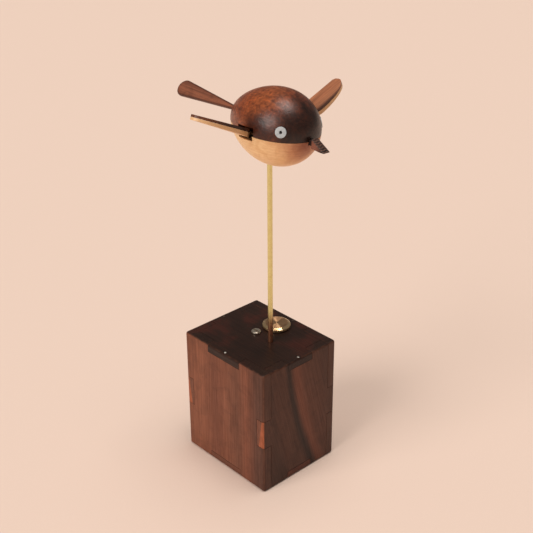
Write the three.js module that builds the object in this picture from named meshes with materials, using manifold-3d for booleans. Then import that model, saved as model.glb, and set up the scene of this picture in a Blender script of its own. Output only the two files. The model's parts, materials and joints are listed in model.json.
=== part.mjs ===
// A wind-up music box with a turning wooden bird, in millimetres, +Z up.
// The origin is the middle of the box's underside. The bird faces -Y and its left is +X.
// A walnut box with finger joints holds a two-plate movement that hangs under the lid.
// The movement turns the brass rod that carries the bird; the brass knob on the lid winds it.

import * as THREE from 'three';
import { mergeVertices } from 'three/addons/utils/BufferGeometryUtils.js';
import { RoundedBoxGeometry } from 'three/addons/geometries/RoundedBoxGeometry.js';
import Module from 'manifold-3d';

const wasm = await Module();
wasm.setup();

const { PI, cos, sin, atan2, hypot, sqrt } = Math;
const degrees = (angle) => angle * PI / 180;

// ---- driving dimensions: the box ----
const boxX = 60;
const boxY = 71;
const boxZ = 84;
const wall = 6;
const board = 5;
const edgeRound = 1.6;
const roundSegments = 4;
const jointGap = 0.15;
const fitGap = 0.15;
const boreGap = 0.1;
const looseGap = 0.2;
const sideTab = 28;
const endTab = 20;
const cornerTab = 19;

// ---- driving dimensions: what stands on the lid ----
const rodPlace = [0, -9.6];
const knobPlace = [15, 0.9];
const screwPlace = [0.9, 4.3];
const rodRadius = 1.5;
const turnGap = 0.3;
const knobRadius = 8.75;
const knobLift = 0.4;
const knobThick = 2.5;
const knobBevel = 1.2;
const screwHeadRadius = 3;
const screwHeadHeight = 1.3;
const screwSlotWidth = 0.9;
const screwSlotDepth = 0.8;
const screwSlotTurn = 90;
const pinRadius = 0.9;
const pinInset = 2;

// ---- driving dimensions: the movement ----
const plateX = 46;
const plateY = 55;
const plateThick = 2;
const plateTop = boxZ - board - 0.3;
const plateUnder = plateTop - plateThick;
const lowerTop = 46;
const lowerUnder = lowerTop - plateThick;
const wheelThick = 2;
const mainModule = 1;
const fineModule = 0.6;
const flyModule = 0.5;
const figureTeeth = 24;
const barrelTeeth = 24;
const cylinderTeeth = 12;
const cylinderWheelTeeth = 30;
const governorPinionTeeth = 8;
const governorWheelTeeth = 24;
const flyPinionTeeth = 8;
const windingTeeth = 10;
const ratchetTeeth = 16;
const toothCrest = 0.8;
const toothRoot = 1.05;
const toothCrestHalf = 0.11;
const toothRootHalf = 0.29;
const arborRadius = 1.5;
const thinArborRadius = 0.8;
const greatWheelZ = 48.4;
const barrelRadius = 10.4;
const barrelHeight = 16;
const barrelWall = 1;
const springTurns = 5;
const cylinderRadius = 6.3;
const cylinderPinHeight = 0.6;
const cylinderUnder = 51.2;
const cylinderLength = 18.6;
const combTeeth = 17;
const combPitch = 1;
const combThick = 1.2;
const ratchetZ = 73.7;
const leafClearance = 2.4;
const cylinderWheelZ = 72;
const governorWheelZ = 70.2;
const trainThick = 1.1;
const flyWidth = 8;
const flyHeight = 13;

// ---- driving dimensions: the bird, in its own frame (x forward, y left, z up) ----
const birdHeight = 139.5;
const birdAhead = 2.8;
const birdPitch = degrees(1.6);
const birdRoll = degrees(-3.4);
const bodyHalfLength = 29.4;
const bodyRadius = 21.1;
const bodyFullness = 0.18;
const bodyBluntness = -0.06;
const seamZ = -1.45;
const seamGap = 0.1;
const wingPitch = degrees(6);
const wingDihedralLeft = degrees(24.8);
const wingDihedralRight = degrees(21.4);
const wingPinSide = 17.4;
const wingPinRadius = 0.75;
const wingWalnutThick = { root: 1.7, tip: 1.35 };
const wingMapleThick = { root: 2.6, tip: 1.4 };
const layerGap = 0.1;
const wingRootInside = 1.6;
const wingRootTrail = -5.3;
const wingRootLead = -1;
const wingWidest = [8.4, 15];
const wingTip = [-1.2, 40.2];
const wingTipTrail = [-4.35, 38.2];
const slotBack = -6.6;
const slotFrontAbove = 7.2;
const slotFrontBelow = 6.2;
const slotTop = 4.1;
const slotFloor = -3.3;
const slotInnerSide = 14.5;
const tailLength = 51.3;
const tailEndRadius = 5.15;
const tailRootRadius = 1.15;
const tailThick = 2.4;
const tailZ = 0.6;
const tailTwist = degrees(-48);
const tailPegRadius = 1.5;
const tailPegDepth = 8;
const beakWidth = 4.7;
const beakTip = 41.2;
const beakBase = 31.9;
const beakBaseTop = 0.95;
const beakBaseUnder = -4.2;
const beakTipTop = -4.05;
const beakTipUnder = -4.45;
const beakChin = [38, -4.6];
const beakTenonBack = 23.7;
const beakTenonWidth = 2.8;
const beakTenonTop = -0.2;
const beakTenonUnder = -3.2;
const beakNotchGap = 0.3;
const eyeForward = 43;
const eyeUp = 15.5;
const eyeRadius = 3.02;
const pupilRadius = 0.78;
const eyeDepth = 1.5;
const dowelX = 12;
const dowelRadius = 2;
const dowelUnder = -8.2;
const dowelTop = 5.2;
const rodTop = 215;

// ---- materials ----
const standard = (color, roughness, metalness) =>
  new THREE.MeshStandardMaterial({ color, roughness, metalness });
const walnut = standard(0x6b4230, 0.55, 0);
const darkWalnut = standard(0x3a251c, 0.35, 0);
const rosewood = standard(0x5a2e1c, 0.3, 0);
const maple = standard(0xd8a878, 0.5, 0);
const brass = standard(0xc9a060, 0.25, 1);
const steel = standard(0x9a9a98, 0.3, 1);
const springSteel = standard(0x55585c, 0.35, 1);
const eyeWhite = standard(0xc9c9c4, 0.35, 0);
const eyeBlack = standard(0x141210, 0.2, 0);

// ---- solids ----
const toSolid = (geometry) => {
  const bare = geometry.index ? geometry.clone() : mergeVertices(geometry.clone());
  bare.deleteAttribute('normal');
  bare.deleteAttribute('uv');
  const merged = mergeVertices(bare, 1e-4);
  const vertProperties = new Float32Array(merged.attributes.position.array);
  const triVerts = new Uint32Array(merged.index.array);
  return new wasm.Manifold(new wasm.Mesh({ numProp: 3, vertProperties, triVerts }));
};

const toGeometry = (solid) => {
  const shell = solid.getMesh();
  const geometry = new THREE.BufferGeometry();
  const places = new Float32Array(shell.numVert * 3);
  for (let vertex = 0; vertex < shell.numVert; vertex += 1) {
    for (let axis = 0; axis < 3; axis += 1) {
      places[vertex * 3 + axis] = shell.vertProperties[vertex * shell.numProp + axis];
    }
  }
  geometry.setAttribute('position', new THREE.BufferAttribute(places, 3));
  geometry.setIndex(Array.from(shell.triVerts));
  geometry.computeVertexNormals();
  return geometry;
};

const union = (solids) => solids.reduce((whole, solid) => whole.add(solid));
const cut = (solid, tools) => tools.reduce((left, tool) => left.subtract(tool), solid);

const block = (x0, x1, y0, y1, z0, z1) => {
  const geometry = new THREE.BoxGeometry(x1 - x0, y1 - y0, z1 - z0);
  geometry.translate((x0 + x1) / 2, (y0 + y1) / 2, (z0 + z1) / 2);
  return toSolid(geometry);
};

// A solid of revolution about a vertical axis; the profile is a list of [radius, height].
const turned = (profile, place = [0, 0], sides = 16) => {
  const points = profile.map(([radius, height]) => new THREE.Vector2(radius, height));
  const geometry = new THREE.LatheGeometry(points, sides);
  geometry.rotateX(PI / 2);
  geometry.translate(place[0], place[1], 0);
  return toSolid(geometry);
};

const rod = (radius, z0, z1, place = [0, 0], sides = 12) =>
  turned([[0, z0], [radius, z0], [radius, z1], [0, z1]], place, sides);

const tube = (inner, outer, z0, z1, place = [0, 0], sides = 14) =>
  turned([[inner, z0], [outer, z0], [outer, z1], [inner, z1], [inner, z0]], place, sides);

const prism = (points, depth, holes = []) => {
  const shape = new THREE.Shape(points.map(([x, y]) => new THREE.Vector2(x, y)));
  holes.forEach((hole) => shape.holes.push(new THREE.Path(hole.map(([x, y]) => new THREE.Vector2(x, y)))));
  return new THREE.ExtrudeGeometry(shape, { depth, bevelEnabled: false });
};

const ringPoints = (radius, sides) =>
  Array.from({ length: sides }, (_, side) => [
    radius * cos(side * 2 * PI / sides),
    radius * sin(side * 2 * PI / sides),
  ]);

// ---- the exported group and its bird, which share the helper below ----
const musicBox = new THREE.Group();
const bird = new THREE.Group();

const addPart = (parent, name, solid, material) => {
  const mesh = new THREE.Mesh(toGeometry(solid), material);
  mesh.name = name;
  parent.add(mesh);
  return mesh;
};

// ---- gears ----
// A spur gear has straight-sided teeth with play at the pitch circle, and one tooth points along `phase`.
const gear = ({ teeth, module, z0, thick, bore, phase, place }) => {
  const pitchRadius = teeth * module / 2;
  const step = 2 * PI / teeth;
  const corners = [
    [-toothRootHalf, pitchRadius - toothRoot * module],
    [-toothCrestHalf, pitchRadius + toothCrest * module],
    [toothCrestHalf, pitchRadius + toothCrest * module],
    [toothRootHalf, pitchRadius - toothRoot * module],
  ];
  const outline = [];
  for (let tooth = 0; tooth < teeth; tooth += 1) {
    corners.forEach(([turn, radius]) => {
      const angle = phase + (tooth + turn) * step;
      outline.push([radius * cos(angle), radius * sin(angle)]);
    });
  }
  const geometry = prism(outline, thick, [ringPoints(bore, 10)]);
  geometry.translate(place[0], place[1], z0);
  return toSolid(geometry);
};

const centreDistance = (teethA, teethB, module) => (teethA + teethB) * module / 2;
const directionTo = (from, to) => atan2(to[1] - from[1], to[0] - from[0]);
const placeAt = (from, distance, angle) => [from[0] + distance * cos(angle), from[1] + distance * sin(angle)];

// The phase that puts a gap of gear B where gear A has a tooth, on the line from A to B.
const meshedPhase = (phaseA, teethA, angleAB, teethB) =>
  angleAB + PI + (angleAB - phaseA) * teethA / teethB + PI / teethB;

// The barrel stands where it meshes with the figure gear and the ratchet wheel with the winding pinion.
const barrelPlace = (() => {
  const reachRod = centreDistance(figureTeeth, barrelTeeth, mainModule);
  const reachKnob = centreDistance(windingTeeth, ratchetTeeth, mainModule);
  const base = hypot(knobPlace[0] - rodPlace[0], knobPlace[1] - rodPlace[1]);
  const along = (reachRod ** 2 - reachKnob ** 2 + base ** 2) / (2 * base);
  const aside = sqrt(reachRod ** 2 - along ** 2);
  const heading = directionTo(rodPlace, knobPlace);
  return placeAt(placeAt(rodPlace, along, heading), aside, heading + PI / 2);
})();
const cylinderPlace = placeAt(
  barrelPlace, centreDistance(barrelTeeth, cylinderTeeth, mainModule), degrees(175));
const governorPlace = placeAt(
  cylinderPlace, centreDistance(cylinderWheelTeeth, governorPinionTeeth, fineModule), degrees(235));
const flyPlace = placeAt(
  governorPlace, centreDistance(governorWheelTeeth, flyPinionTeeth, flyModule), degrees(250));

const figurePhase = 0;
const barrelPhase = meshedPhase(
  figurePhase, figureTeeth, directionTo(rodPlace, barrelPlace), barrelTeeth);
const cylinderPhase = meshedPhase(
  barrelPhase, barrelTeeth, directionTo(barrelPlace, cylinderPlace), cylinderTeeth);
const governorPhase = meshedPhase(
  0, cylinderWheelTeeth, directionTo(cylinderPlace, governorPlace), governorPinionTeeth);
const flyPhase = meshedPhase(
  0, governorWheelTeeth, directionTo(governorPlace, flyPlace), flyPinionTeeth);
const ratchetPhase = meshedPhase(
  0, windingTeeth, directionTo(knobPlace, barrelPlace), ratchetTeeth);

// ---- the box ----
const roundedBox = (() => {
  const geometry = new RoundedBoxGeometry(boxX, boxY, boxZ, roundSegments, edgeRound);
  geometry.translate(0, 0, boxZ / 2);
  return toSolid(geometry);
})();

// The lid and the floor are one shape: a board inside the walls with a tab through each wall.
const tabbedBoard = (z0, z1) => {
  const insideX = boxX / 2 - wall - jointGap;
  const insideY = boxY / 2 - wall - jointGap;
  return union([
    block(-insideX, insideX, -insideY, insideY, z0, z1),
    block(-boxX / 2, boxX / 2, -sideTab / 2, sideTab / 2, z0, z1),
    block(-endTab / 2, endTab / 2, -boxY / 2, boxY / 2, z0, z1),
  ]);
};

// Space that the tabs of the lid and the floor take out of the walls.
const tabNotches = () => {
  const reach = boxX;
  const side = sideTab / 2 + jointGap;
  const end = endTab / 2 + jointGap;
  const under = board + jointGap;
  const over = boxZ - board - jointGap;
  return [
    block(-reach, reach, -side, side, -1, under),
    block(-reach, reach, -side, side, over, boxZ + 1),
    block(-end, end, -reach, reach, -1, under),
    block(-end, end, -reach, reach, over, boxZ + 1),
  ];
};

const lidPins = [
  [-(boxX / 2 - pinInset), 0],
  [boxX / 2 - pinInset, 0],
  [0, -(boxY / 2 - pinInset)],
  [0, boxY / 2 - pinInset],
];
const pinBottom = boxZ - 12;
const pinHoles = () => lidPins.map((place) => rod(pinRadius + fitGap, pinBottom - 0.3, boxZ + 1, place, 12));

const tabLow = (boxZ - cornerTab) / 2;
const tabHigh = (boxZ + cornerTab) / 2;

// A side wall runs the full depth of the box, but its ends are notched for the corner tabs.
const sideWall = (side) => {
  const outer = side * boxX / 2;
  const inner = side * (boxX / 2 - wall);
  const slab = block(Math.min(outer, inner), Math.max(outer, inner), -boxY / 2, boxY / 2, 0, boxZ);
  const reach = boxY / 2 - wall - jointGap;
  const notches = [
    block(-boxX, boxX, reach, boxY, tabLow - jointGap, tabHigh + jointGap),
    block(-boxX, boxX, -boxY, -reach, tabLow - jointGap, tabHigh + jointGap),
  ];
  return cut(slab, [...notches, ...tabNotches(), ...pinHoles()]).intersect(roundedBox);
};

// An end wall fits between the side walls, with a middle tab at each corner.
const endWall = (side) => {
  const outer = side * boxY / 2;
  const inner = side * (boxY / 2 - wall);
  const low = Math.min(outer, inner);
  const high = Math.max(outer, inner);
  const reach = boxX / 2 - wall - jointGap;
  const slab = union([
    block(-reach, reach, low, high, 0, boxZ),
    block(-boxX / 2, boxX / 2, low, high, tabLow, tabHigh),
  ]);
  return cut(slab, [...tabNotches(), ...pinHoles()]).intersect(roundedBox);
};

const bushRadius = 3;
const bushTop = boxZ - 0.8;
const bushUnder = boxZ - board + 0.1;
const throughHole = rodRadius + turnGap;

const makeBox = () => {
  const lidHoles = [
    rod(throughHole, 0, boxZ + 1, rodPlace),
    rod(throughHole, 0, boxZ + 1, knobPlace),
    rod(bushRadius + looseGap, 0, bushTop + 0.2, rodPlace),
    rod(bushRadius + looseGap, 0, bushTop + 0.2, knobPlace),
    rod(rodRadius + looseGap, 0, boxZ + 1, screwPlace),
  ];
  const lid = cut(tabbedBoard(boxZ - board, boxZ), [...lidHoles, ...pinHoles()]);
  addPart(musicBox, 'box_wall_left', sideWall(-1), walnut);
  addPart(musicBox, 'box_wall_right', sideWall(1), walnut);
  addPart(musicBox, 'box_wall_front', endWall(-1), walnut);
  addPart(musicBox, 'box_wall_back', endWall(1), walnut);
  addPart(musicBox, 'box_lid', lid.intersect(roundedBox), darkWalnut);
  addPart(musicBox, 'box_floor', tabbedBoard(0, board).intersect(roundedBox), walnut);
  lidPins.forEach((place, index) => {
    addPart(musicBox, `lid_pin_${index + 1}`, rod(pinRadius, pinBottom, boxZ, place, 12), steel);
  });
  addPart(musicBox, 'rod_bush', tube(throughHole, bushRadius, bushUnder, bushTop, rodPlace), brass);
  addPart(musicBox, 'winding_bush', tube(throughHole, bushRadius, bushUnder, bushTop, knobPlace), brass);
};

// A cheese-head screw with a slot; it clamps the movement's upper plate under the lid.
const makeLidScrew = () => {
  const headUnder = boxZ + fitGap;
  const headTop = headUnder + screwHeadHeight;
  const screw = turned([
    [0, plateUnder - 1],
    [rodRadius - 0.05, plateUnder - 1],
    [rodRadius - 0.05, headUnder],
    [screwHeadRadius, headUnder],
    [screwHeadRadius, headTop - 0.3],
    [screwHeadRadius - 0.4, headTop],
    [0, headTop],
  ], screwPlace);
  const halfSlot = screwSlotWidth / 2;
  const slot = block(
    -screwHeadRadius - 1, screwHeadRadius + 1, -halfSlot, halfSlot, headTop - screwSlotDepth, headTop + 1)
    .rotate([0, 0, screwSlotTurn])
    .translate([screwPlace[0], screwPlace[1], 0]);
  addPart(musicBox, 'lid_screw', screw.subtract(slot), steel);
};

// ---- the movement's frame ----
const pillarPlaces = [[-20, -24.5], [20, -24.5], [20, 24.5], [-20, 24.5]];
const clickAngle = degrees(62);
const clickPlace = placeAt(barrelPlace, 13.2, clickAngle);
const combBridge = { x0: cylinderPlace[0] - 5.2, x1: cylinderPlace[0] - combThick / 2 - 0.2, y0: -12.4, y1: -6.6 };

const arborPlaces = [
  { place: barrelPlace, radius: arborRadius },
  { place: cylinderPlace, radius: arborRadius },
  { place: governorPlace, radius: thinArborRadius },
  { place: flyPlace, radius: thinArborRadius },
];

const plate = (z0, extraHoles) => {
  const pivots = arborPlaces.map(({ place, radius }) => rod(radius + turnGap, z0 - 1, z0 + plateThick + 1, place, 10));
  const tenons = pillarPlaces.map((place) => rod(1.6, z0 - 1, z0 + plateThick + 1, place, 10));
  const rodHole = rod(throughHole, z0 - 1, z0 + plateThick + 1, rodPlace);
  const blank = block(-plateX / 2, plateX / 2, -plateY / 2, plateY / 2, z0, z0 + plateThick);
  return cut(blank, [...pivots, ...tenons, rodHole, ...extraHoles]);
};

const makeFrame = () => {
  const upperHoles = [
    rod(throughHole, plateUnder - 1, plateTop + 1, knobPlace),
    rod(rodRadius + looseGap, plateUnder - 1, plateTop + 1, screwPlace),
    rod(1.2, plateUnder - 1, plateTop + 1, clickPlace, 16),
  ];
  addPart(musicBox, 'upper_plate', plate(plateUnder, upperHoles), brass);
  addPart(musicBox, 'lower_plate', plate(lowerUnder, []), brass);
  pillarPlaces.forEach((place, index) => {
    const pillar = turned([
      [0, lowerUnder - 0.3],
      [1.3, lowerUnder - 0.3],
      [1.3, lowerTop + 0.1],
      [2.4, lowerTop + 0.1],
      [2.4, plateUnder - 0.1],
      [1.3, plateUnder - 0.1],
      [1.3, plateTop],
      [0, plateTop],
    ], place, 10);
    addPart(musicBox, `frame_pillar_${index + 1}`, pillar, brass);
  });
};

// ---- the winding work ----
const makeWinding = () => {
  const knobUnder = boxZ + knobLift;
  const knobTop = knobUnder + knobThick;
  const knobSocket = rod(rodRadius + boreGap, knobUnder - 1, knobTop - 1.1, knobPlace);
  const knob = turned([
    [0, knobUnder],
    [knobRadius - 0.3, knobUnder],
    [knobRadius, knobUnder + 0.3],
    [knobRadius, knobTop - knobBevel],
    [knobRadius - knobBevel, knobTop],
    [0, knobTop],
  ], knobPlace, 40).subtract(knobSocket);
  addPart(musicBox, 'winding_knob', knob, brass);
  addPart(musicBox, 'winding_arbor', rod(rodRadius, ratchetZ - 0.6, knobTop - 1.3, knobPlace), steel);
  addPart(musicBox, 'winding_pinion', gear({
    teeth: windingTeeth, module: mainModule, z0: ratchetZ, thick: 1.8,
    bore: rodRadius + boreGap, phase: 0, place: knobPlace,
  }), steel);
  addPart(musicBox, 'ratchet_wheel', gear({
    teeth: ratchetTeeth, module: mainModule, z0: ratchetZ, thick: 1.8,
    bore: arborRadius + boreGap, phase: ratchetPhase, place: barrelPlace,
  }), steel);
  addPart(musicBox, 'barrel_arbor', rod(arborRadius, lowerUnder + 0.3, plateTop, barrelPlace), steel);
};

// The click is a small lever whose tip stands just outside the ratchet wheel's teeth,
// with a leaf spring beside it on a post of its own.
const makeClick = () => {
  const tipReach = ratchetTeeth * mainModule / 2 + toothCrest * mainModule + 0.25;
  const tip = placeAt(barrelPlace, tipReach, clickAngle - degrees(24));
  const along = directionTo(clickPlace, tip);
  const reach = hypot(tip[0] - clickPlace[0], tip[1] - clickPlace[1]);
  const lever = prism([[-1.2, -1.4], [1.6, -1.4], [reach, -0.35], [reach, 0.35], [1.6, 1.4], [-1.2, 1.4]], 1.4);
  lever.rotateZ(along);
  lever.translate(clickPlace[0], clickPlace[1], ratchetZ + 0.2);
  const eye = rod(1.2, ratchetZ - 1, ratchetZ + 3, clickPlace, 16);
  addPart(musicBox, 'click', toSolid(lever).subtract(eye), steel);
  const pivot = turned([
    [0, ratchetZ - 0.9],
    [1.8, ratchetZ - 0.9],
    [1.8, ratchetZ - 0.1],
    [0.9, ratchetZ - 0.1],
    [0.9, plateTop - 0.2],
    [0, plateTop - 0.2],
  ], clickPlace, 16);
  addPart(musicBox, 'click_screw', pivot, steel);
  const middle = placeAt(clickPlace, reach * 0.6, along);
  const leafEnd = placeAt(middle, leafClearance, directionTo(barrelPlace, middle));
  const postPlace = placeAt(barrelPlace, 14, degrees(24));
  const leafLength = hypot(leafEnd[0] - postPlace[0], leafEnd[1] - postPlace[1]);
  const leaf = prism([[0, -0.2], [leafLength, -0.2], [leafLength, 0.2], [0, 0.2]], 1);
  leaf.rotateZ(directionTo(postPlace, leafEnd));
  leaf.translate(postPlace[0], postPlace[1], ratchetZ + 0.4);
  const post = rod(0.8, ratchetZ + 0.2, plateUnder - 0.1, postPlace, 12);
  addPart(musicBox, 'click_spring', toSolid(leaf).add(post), springSteel);
};

// ---- the barrel ----
const makeBarrel = () => {
  const drumUnder = greatWheelZ + wheelThick;
  const drumTop = drumUnder + barrelHeight;
  const bore = arborRadius + turnGap;
  const teeth = gear({
    teeth: barrelTeeth, module: mainModule, z0: greatWheelZ, thick: wheelThick,
    bore, phase: barrelPhase, place: barrelPlace,
  });
  const drum = turned([
    [bore, greatWheelZ + wheelThick / 2],
    [barrelRadius, greatWheelZ + wheelThick / 2],
    [barrelRadius, drumTop],
    [barrelRadius - barrelWall, drumTop],
    [barrelRadius - barrelWall, drumUnder],
    [bore, drumUnder],
    [bore, greatWheelZ + wheelThick / 2],
  ], barrelPlace, 24);
  addPart(musicBox, 'barrel_drum', teeth.add(drum), brass);
  const coverRadius = barrelRadius - barrelWall - 0.2;
  addPart(musicBox, 'barrel_cover', tube(bore, coverRadius, drumTop - 1.2, drumTop, barrelPlace), brass);
  addPart(musicBox, 'mainspring', mainspring(drumUnder + 0.4, drumTop - 1.6), springSteel);
};

// The mainspring is a flat strip in a spiral, from a collar near the arbor to the barrel's wall.
const mainspring = (z0, z1) => {
  const inner = 2.6;
  const outer = barrelRadius - barrelWall - 0.4;
  const strip = 0.35;
  const steps = springTurns * 12;
  const spiral = (offset) => Array.from({ length: steps + 1 }, (_, step) => {
    const angle = step / steps * springTurns * 2 * PI;
    const radius = inner + (outer - strip - inner) * step / steps + offset;
    return [radius * cos(angle), radius * sin(angle)];
  });
  const geometry = prism([...spiral(strip), ...spiral(0).reverse()], z1 - z0);
  geometry.translate(barrelPlace[0], barrelPlace[1], z0);
  return toSolid(geometry);
};

// ---- the tune cylinder and its comb ----
const makeCylinder = () => {
  const top = cylinderUnder + cylinderLength;
  const bore = arborRadius + boreGap;
  addPart(musicBox, 'cylinder_arbor', rod(arborRadius, lowerUnder + 0.3, plateTop, cylinderPlace), steel);
  addPart(musicBox, 'cylinder_pinion', gear({
    teeth: cylinderTeeth, module: mainModule, z0: greatWheelZ, thick: wheelThick,
    bore, phase: cylinderPhase, place: cylinderPlace,
  }), brass);
  const pins = [];
  for (let track = 0; track < combTeeth; track += 1) {
    const z = combBase + (track + 0.5) * combPitch;
    for (let note = 0; note < 2; note += 1) {
      const turn = 37 + track * 81 + note * (103 + (track % 4) * 17);
      const pin = block(cylinderRadius - 0.8, cylinderRadius + cylinderPinHeight, -0.25, 0.25, z - 0.25, z + 0.25);
      pins.push(pin.rotate([0, 0, turn]).translate([cylinderPlace[0], cylinderPlace[1], 0]));
    }
  }
  const drum = tube(bore, cylinderRadius, cylinderUnder, top, cylinderPlace, 20);
  addPart(musicBox, 'tune_cylinder', union([drum, ...pins]), brass);
  addPart(musicBox, 'cylinder_wheel', gear({
    teeth: cylinderWheelTeeth, module: fineModule, z0: cylinderWheelZ, thick: trainThick,
    bore, phase: 0, place: cylinderPlace,
  }), brass);
};

const combBase = cylinderUnder + 0.8;
const combScrewHeights = [combBase + 3, combBase + combTeeth - 3];

const makeComb = () => {
  const x = cylinderPlace[0];
  const tips = cylinderPlace[1] - cylinderRadius - cylinderPinHeight - 0.25;
  const roots = combBridge.y1 + 1.2;
  const top = combBase + combTeeth * combPitch;
  const y = (combBridge.y0 + combBridge.y1) / 2;
  const slots = [];
  for (let gap = 1; gap < combTeeth; gap += 1) {
    const z = combBase + gap * combPitch;
    slots.push(block(x - 2, x + 2, roots, tips + 1, z - 0.15, z + 0.15));
  }
  const screwShaft = (radius, z) => {
    const geometry = new THREE.CylinderGeometry(radius, radius, 5, 8);
    geometry.rotateZ(PI / 2);
    geometry.translate(x - 0.4, y, z);
    return toSolid(geometry);
  };
  const screwHead = (z) => {
    const geometry = new THREE.CylinderGeometry(1.7, 1.7, 1, 10);
    geometry.rotateZ(PI / 2);
    geometry.translate(x + combThick / 2 + 0.7, y, z);
    return toSolid(geometry).subtract(
      block(x + combThick / 2 + 0.8, x + 5, y - 2, y + 2, z - 0.25, z + 0.25));
  };
  const holes = combScrewHeights.map((z) => screwShaft(1.2, z));
  const blank = block(x - combThick / 2, x + combThick / 2, combBridge.y0, tips, combBase, top);
  addPart(musicBox, 'comb', cut(blank, [...slots, ...holes]), springSteel);
  const bridge = block(
    combBridge.x0, combBridge.x1, combBridge.y0, combBridge.y1, cylinderUnder, plateUnder - 0.1);
  addPart(musicBox, 'comb_bridge', cut(bridge, holes), brass);
  combScrewHeights.forEach((z, index) => {
    addPart(musicBox, `comb_screw_${index + 1}`, screwShaft(1, z).add(screwHead(z)), steel);
  });
};

// ---- the governor ----
const makeGovernor = () => {
  const bore = thinArborRadius + boreGap;
  const arbor = (place) => rod(thinArborRadius, lowerUnder + 0.3, plateTop, place, 12);
  const governorPinion = gear({
    teeth: governorPinionTeeth, module: fineModule, z0: cylinderWheelZ - 0.2, thick: trainThick + 0.4,
    bore: thinArborRadius - 0.2, phase: governorPhase, place: governorPlace,
  });
  addPart(musicBox, 'governor_arbor', arbor(governorPlace).add(governorPinion), steel);
  addPart(musicBox, 'governor_wheel', gear({
    teeth: governorWheelTeeth, module: flyModule, z0: governorWheelZ, thick: trainThick,
    bore, phase: 0, place: governorPlace,
  }), brass);
  const flyPinion = gear({
    teeth: flyPinionTeeth, module: flyModule, z0: governorWheelZ - 0.2, thick: trainThick + 0.4,
    bore: thinArborRadius - 0.2, phase: flyPhase, place: flyPlace,
  });
  addPart(musicBox, 'fly_arbor', arbor(flyPlace).add(flyPinion), steel);
  const flyTop = governorWheelZ - 2;
  const blade = block(-flyWidth / 2, flyWidth / 2, -0.25, 0.25, flyTop - flyHeight, flyTop)
    .translate([flyPlace[0], flyPlace[1], 0]);
  const hub = rod(1.6, flyTop - flyHeight, flyTop, flyPlace, 12);
  const hole = rod(bore, flyTop - flyHeight - 1, flyTop + 1, flyPlace, 12);
  addPart(musicBox, 'fly_blade', blade.add(hub).subtract(hole), brass);
};

// ---- the figure's drive ----
const makeFigureDrive = () => {
  addPart(musicBox, 'figure_rod', rod(rodRadius, lowerUnder + 0.3, rodTop, rodPlace, 16), brass);
  const teeth = gear({
    teeth: figureTeeth, module: mainModule, z0: greatWheelZ, thick: wheelThick,
    bore: rodRadius + boreGap, phase: figurePhase, place: rodPlace,
  });
  const hub = tube(rodRadius + boreGap, 3.2, greatWheelZ + wheelThick / 2, greatWheelZ + wheelThick + 4, rodPlace);
  addPart(musicBox, 'figure_gear', teeth.add(hub), brass);
};

// ---- the bird ----
const bodyProfile = (theta) => ({
  x: bodyHalfLength * cos(theta),
  radius: bodyRadius * sin(theta) * (1 + bodyFullness * cos(theta) + bodyBluntness * cos(theta) ** 2),
});

const bodySolid = () => {
  const steps = 22;
  const points = Array.from({ length: steps + 1 }, (_, step) => {
    const { x, radius } = bodyProfile(PI - PI * step / steps);
    return new THREE.Vector2(step === 0 || step === steps ? 0 : radius, x);
  });
  const geometry = new THREE.LatheGeometry(points, 32);
  geometry.rotateZ(-PI / 2);
  return toSolid(geometry);
};

// The place and outward direction of an eye on the body's surface; side is +1 on the left.
const eyeFrame = (side) => {
  const theta = degrees(eyeForward);
  const lift = degrees(eyeUp);
  const here = bodyProfile(theta);
  const next = bodyProfile(theta + 0.01);
  const place = new THREE.Vector3(here.x, side * here.radius * cos(lift), here.radius * sin(lift));
  const slopeX = (next.radius - here.radius);
  const slopeRadius = -(next.x - here.x);
  const outward = new THREE.Vector3(slopeX, side * slopeRadius * cos(lift), slopeRadius * sin(lift)).normalize();
  return { place, outward };
};

// A disc or ring square to the eye's direction, between two depths along it.
const eyeDisc = (side, inner, outer, from, to) => {
  const { place, outward } = eyeFrame(side);
  const profile = inner > 0
    ? [[inner, from], [outer, from], [outer, to], [inner, to], [inner, from]]
    : [[0, from], [outer, from], [outer, to], [0, to]];
  const geometry = new THREE.LatheGeometry(profile.map(([r, h]) => new THREE.Vector2(r, h)), 18);
  geometry.applyQuaternion(new THREE.Quaternion().setFromUnitVectors(new THREE.Vector3(0, 1, 0), outward));
  geometry.translate(place.x, place.y, place.z);
  return toSolid(geometry);
};

// A cylinder along the bird's x axis.
const lengthwise = (radius, x0, x1, y, z, sides = 10) => {
  const geometry = new THREE.CylinderGeometry(radius, radius, x1 - x0, sides);
  geometry.rotateZ(PI / 2);
  geometry.translate((x0 + x1) / 2, y, z);
  return toSolid(geometry);
};

// The wings' slots and pins lie in a plane pitched nose-up about each hinge.
const pitched = (solid, side) =>
  solid.rotate([0, -wingPitch * 180 / PI, 0]).translate([0, side * wingPinSide, seamZ]);

// Each half of the body has its own slots, which differ in how far forward they reach.
const wingSlots = (front) => [-1, 1].map((side) => {
  const inner = side * (slotInnerSide - wingPinSide);
  const outer = side * 10;
  const slot = block(slotBack, front, Math.min(inner, outer), Math.max(inner, outer), slotFloor, slotTop);
  return pitched(slot, side);
});

const pinBack = slotBack - 2.2;
const pinFront = slotFrontAbove + 2.2;

const wingPin = (side, slack = 0) =>
  pitched(lengthwise(wingPinRadius + slack, pinBack - slack, pinFront + slack, 0, 0), side);

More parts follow.
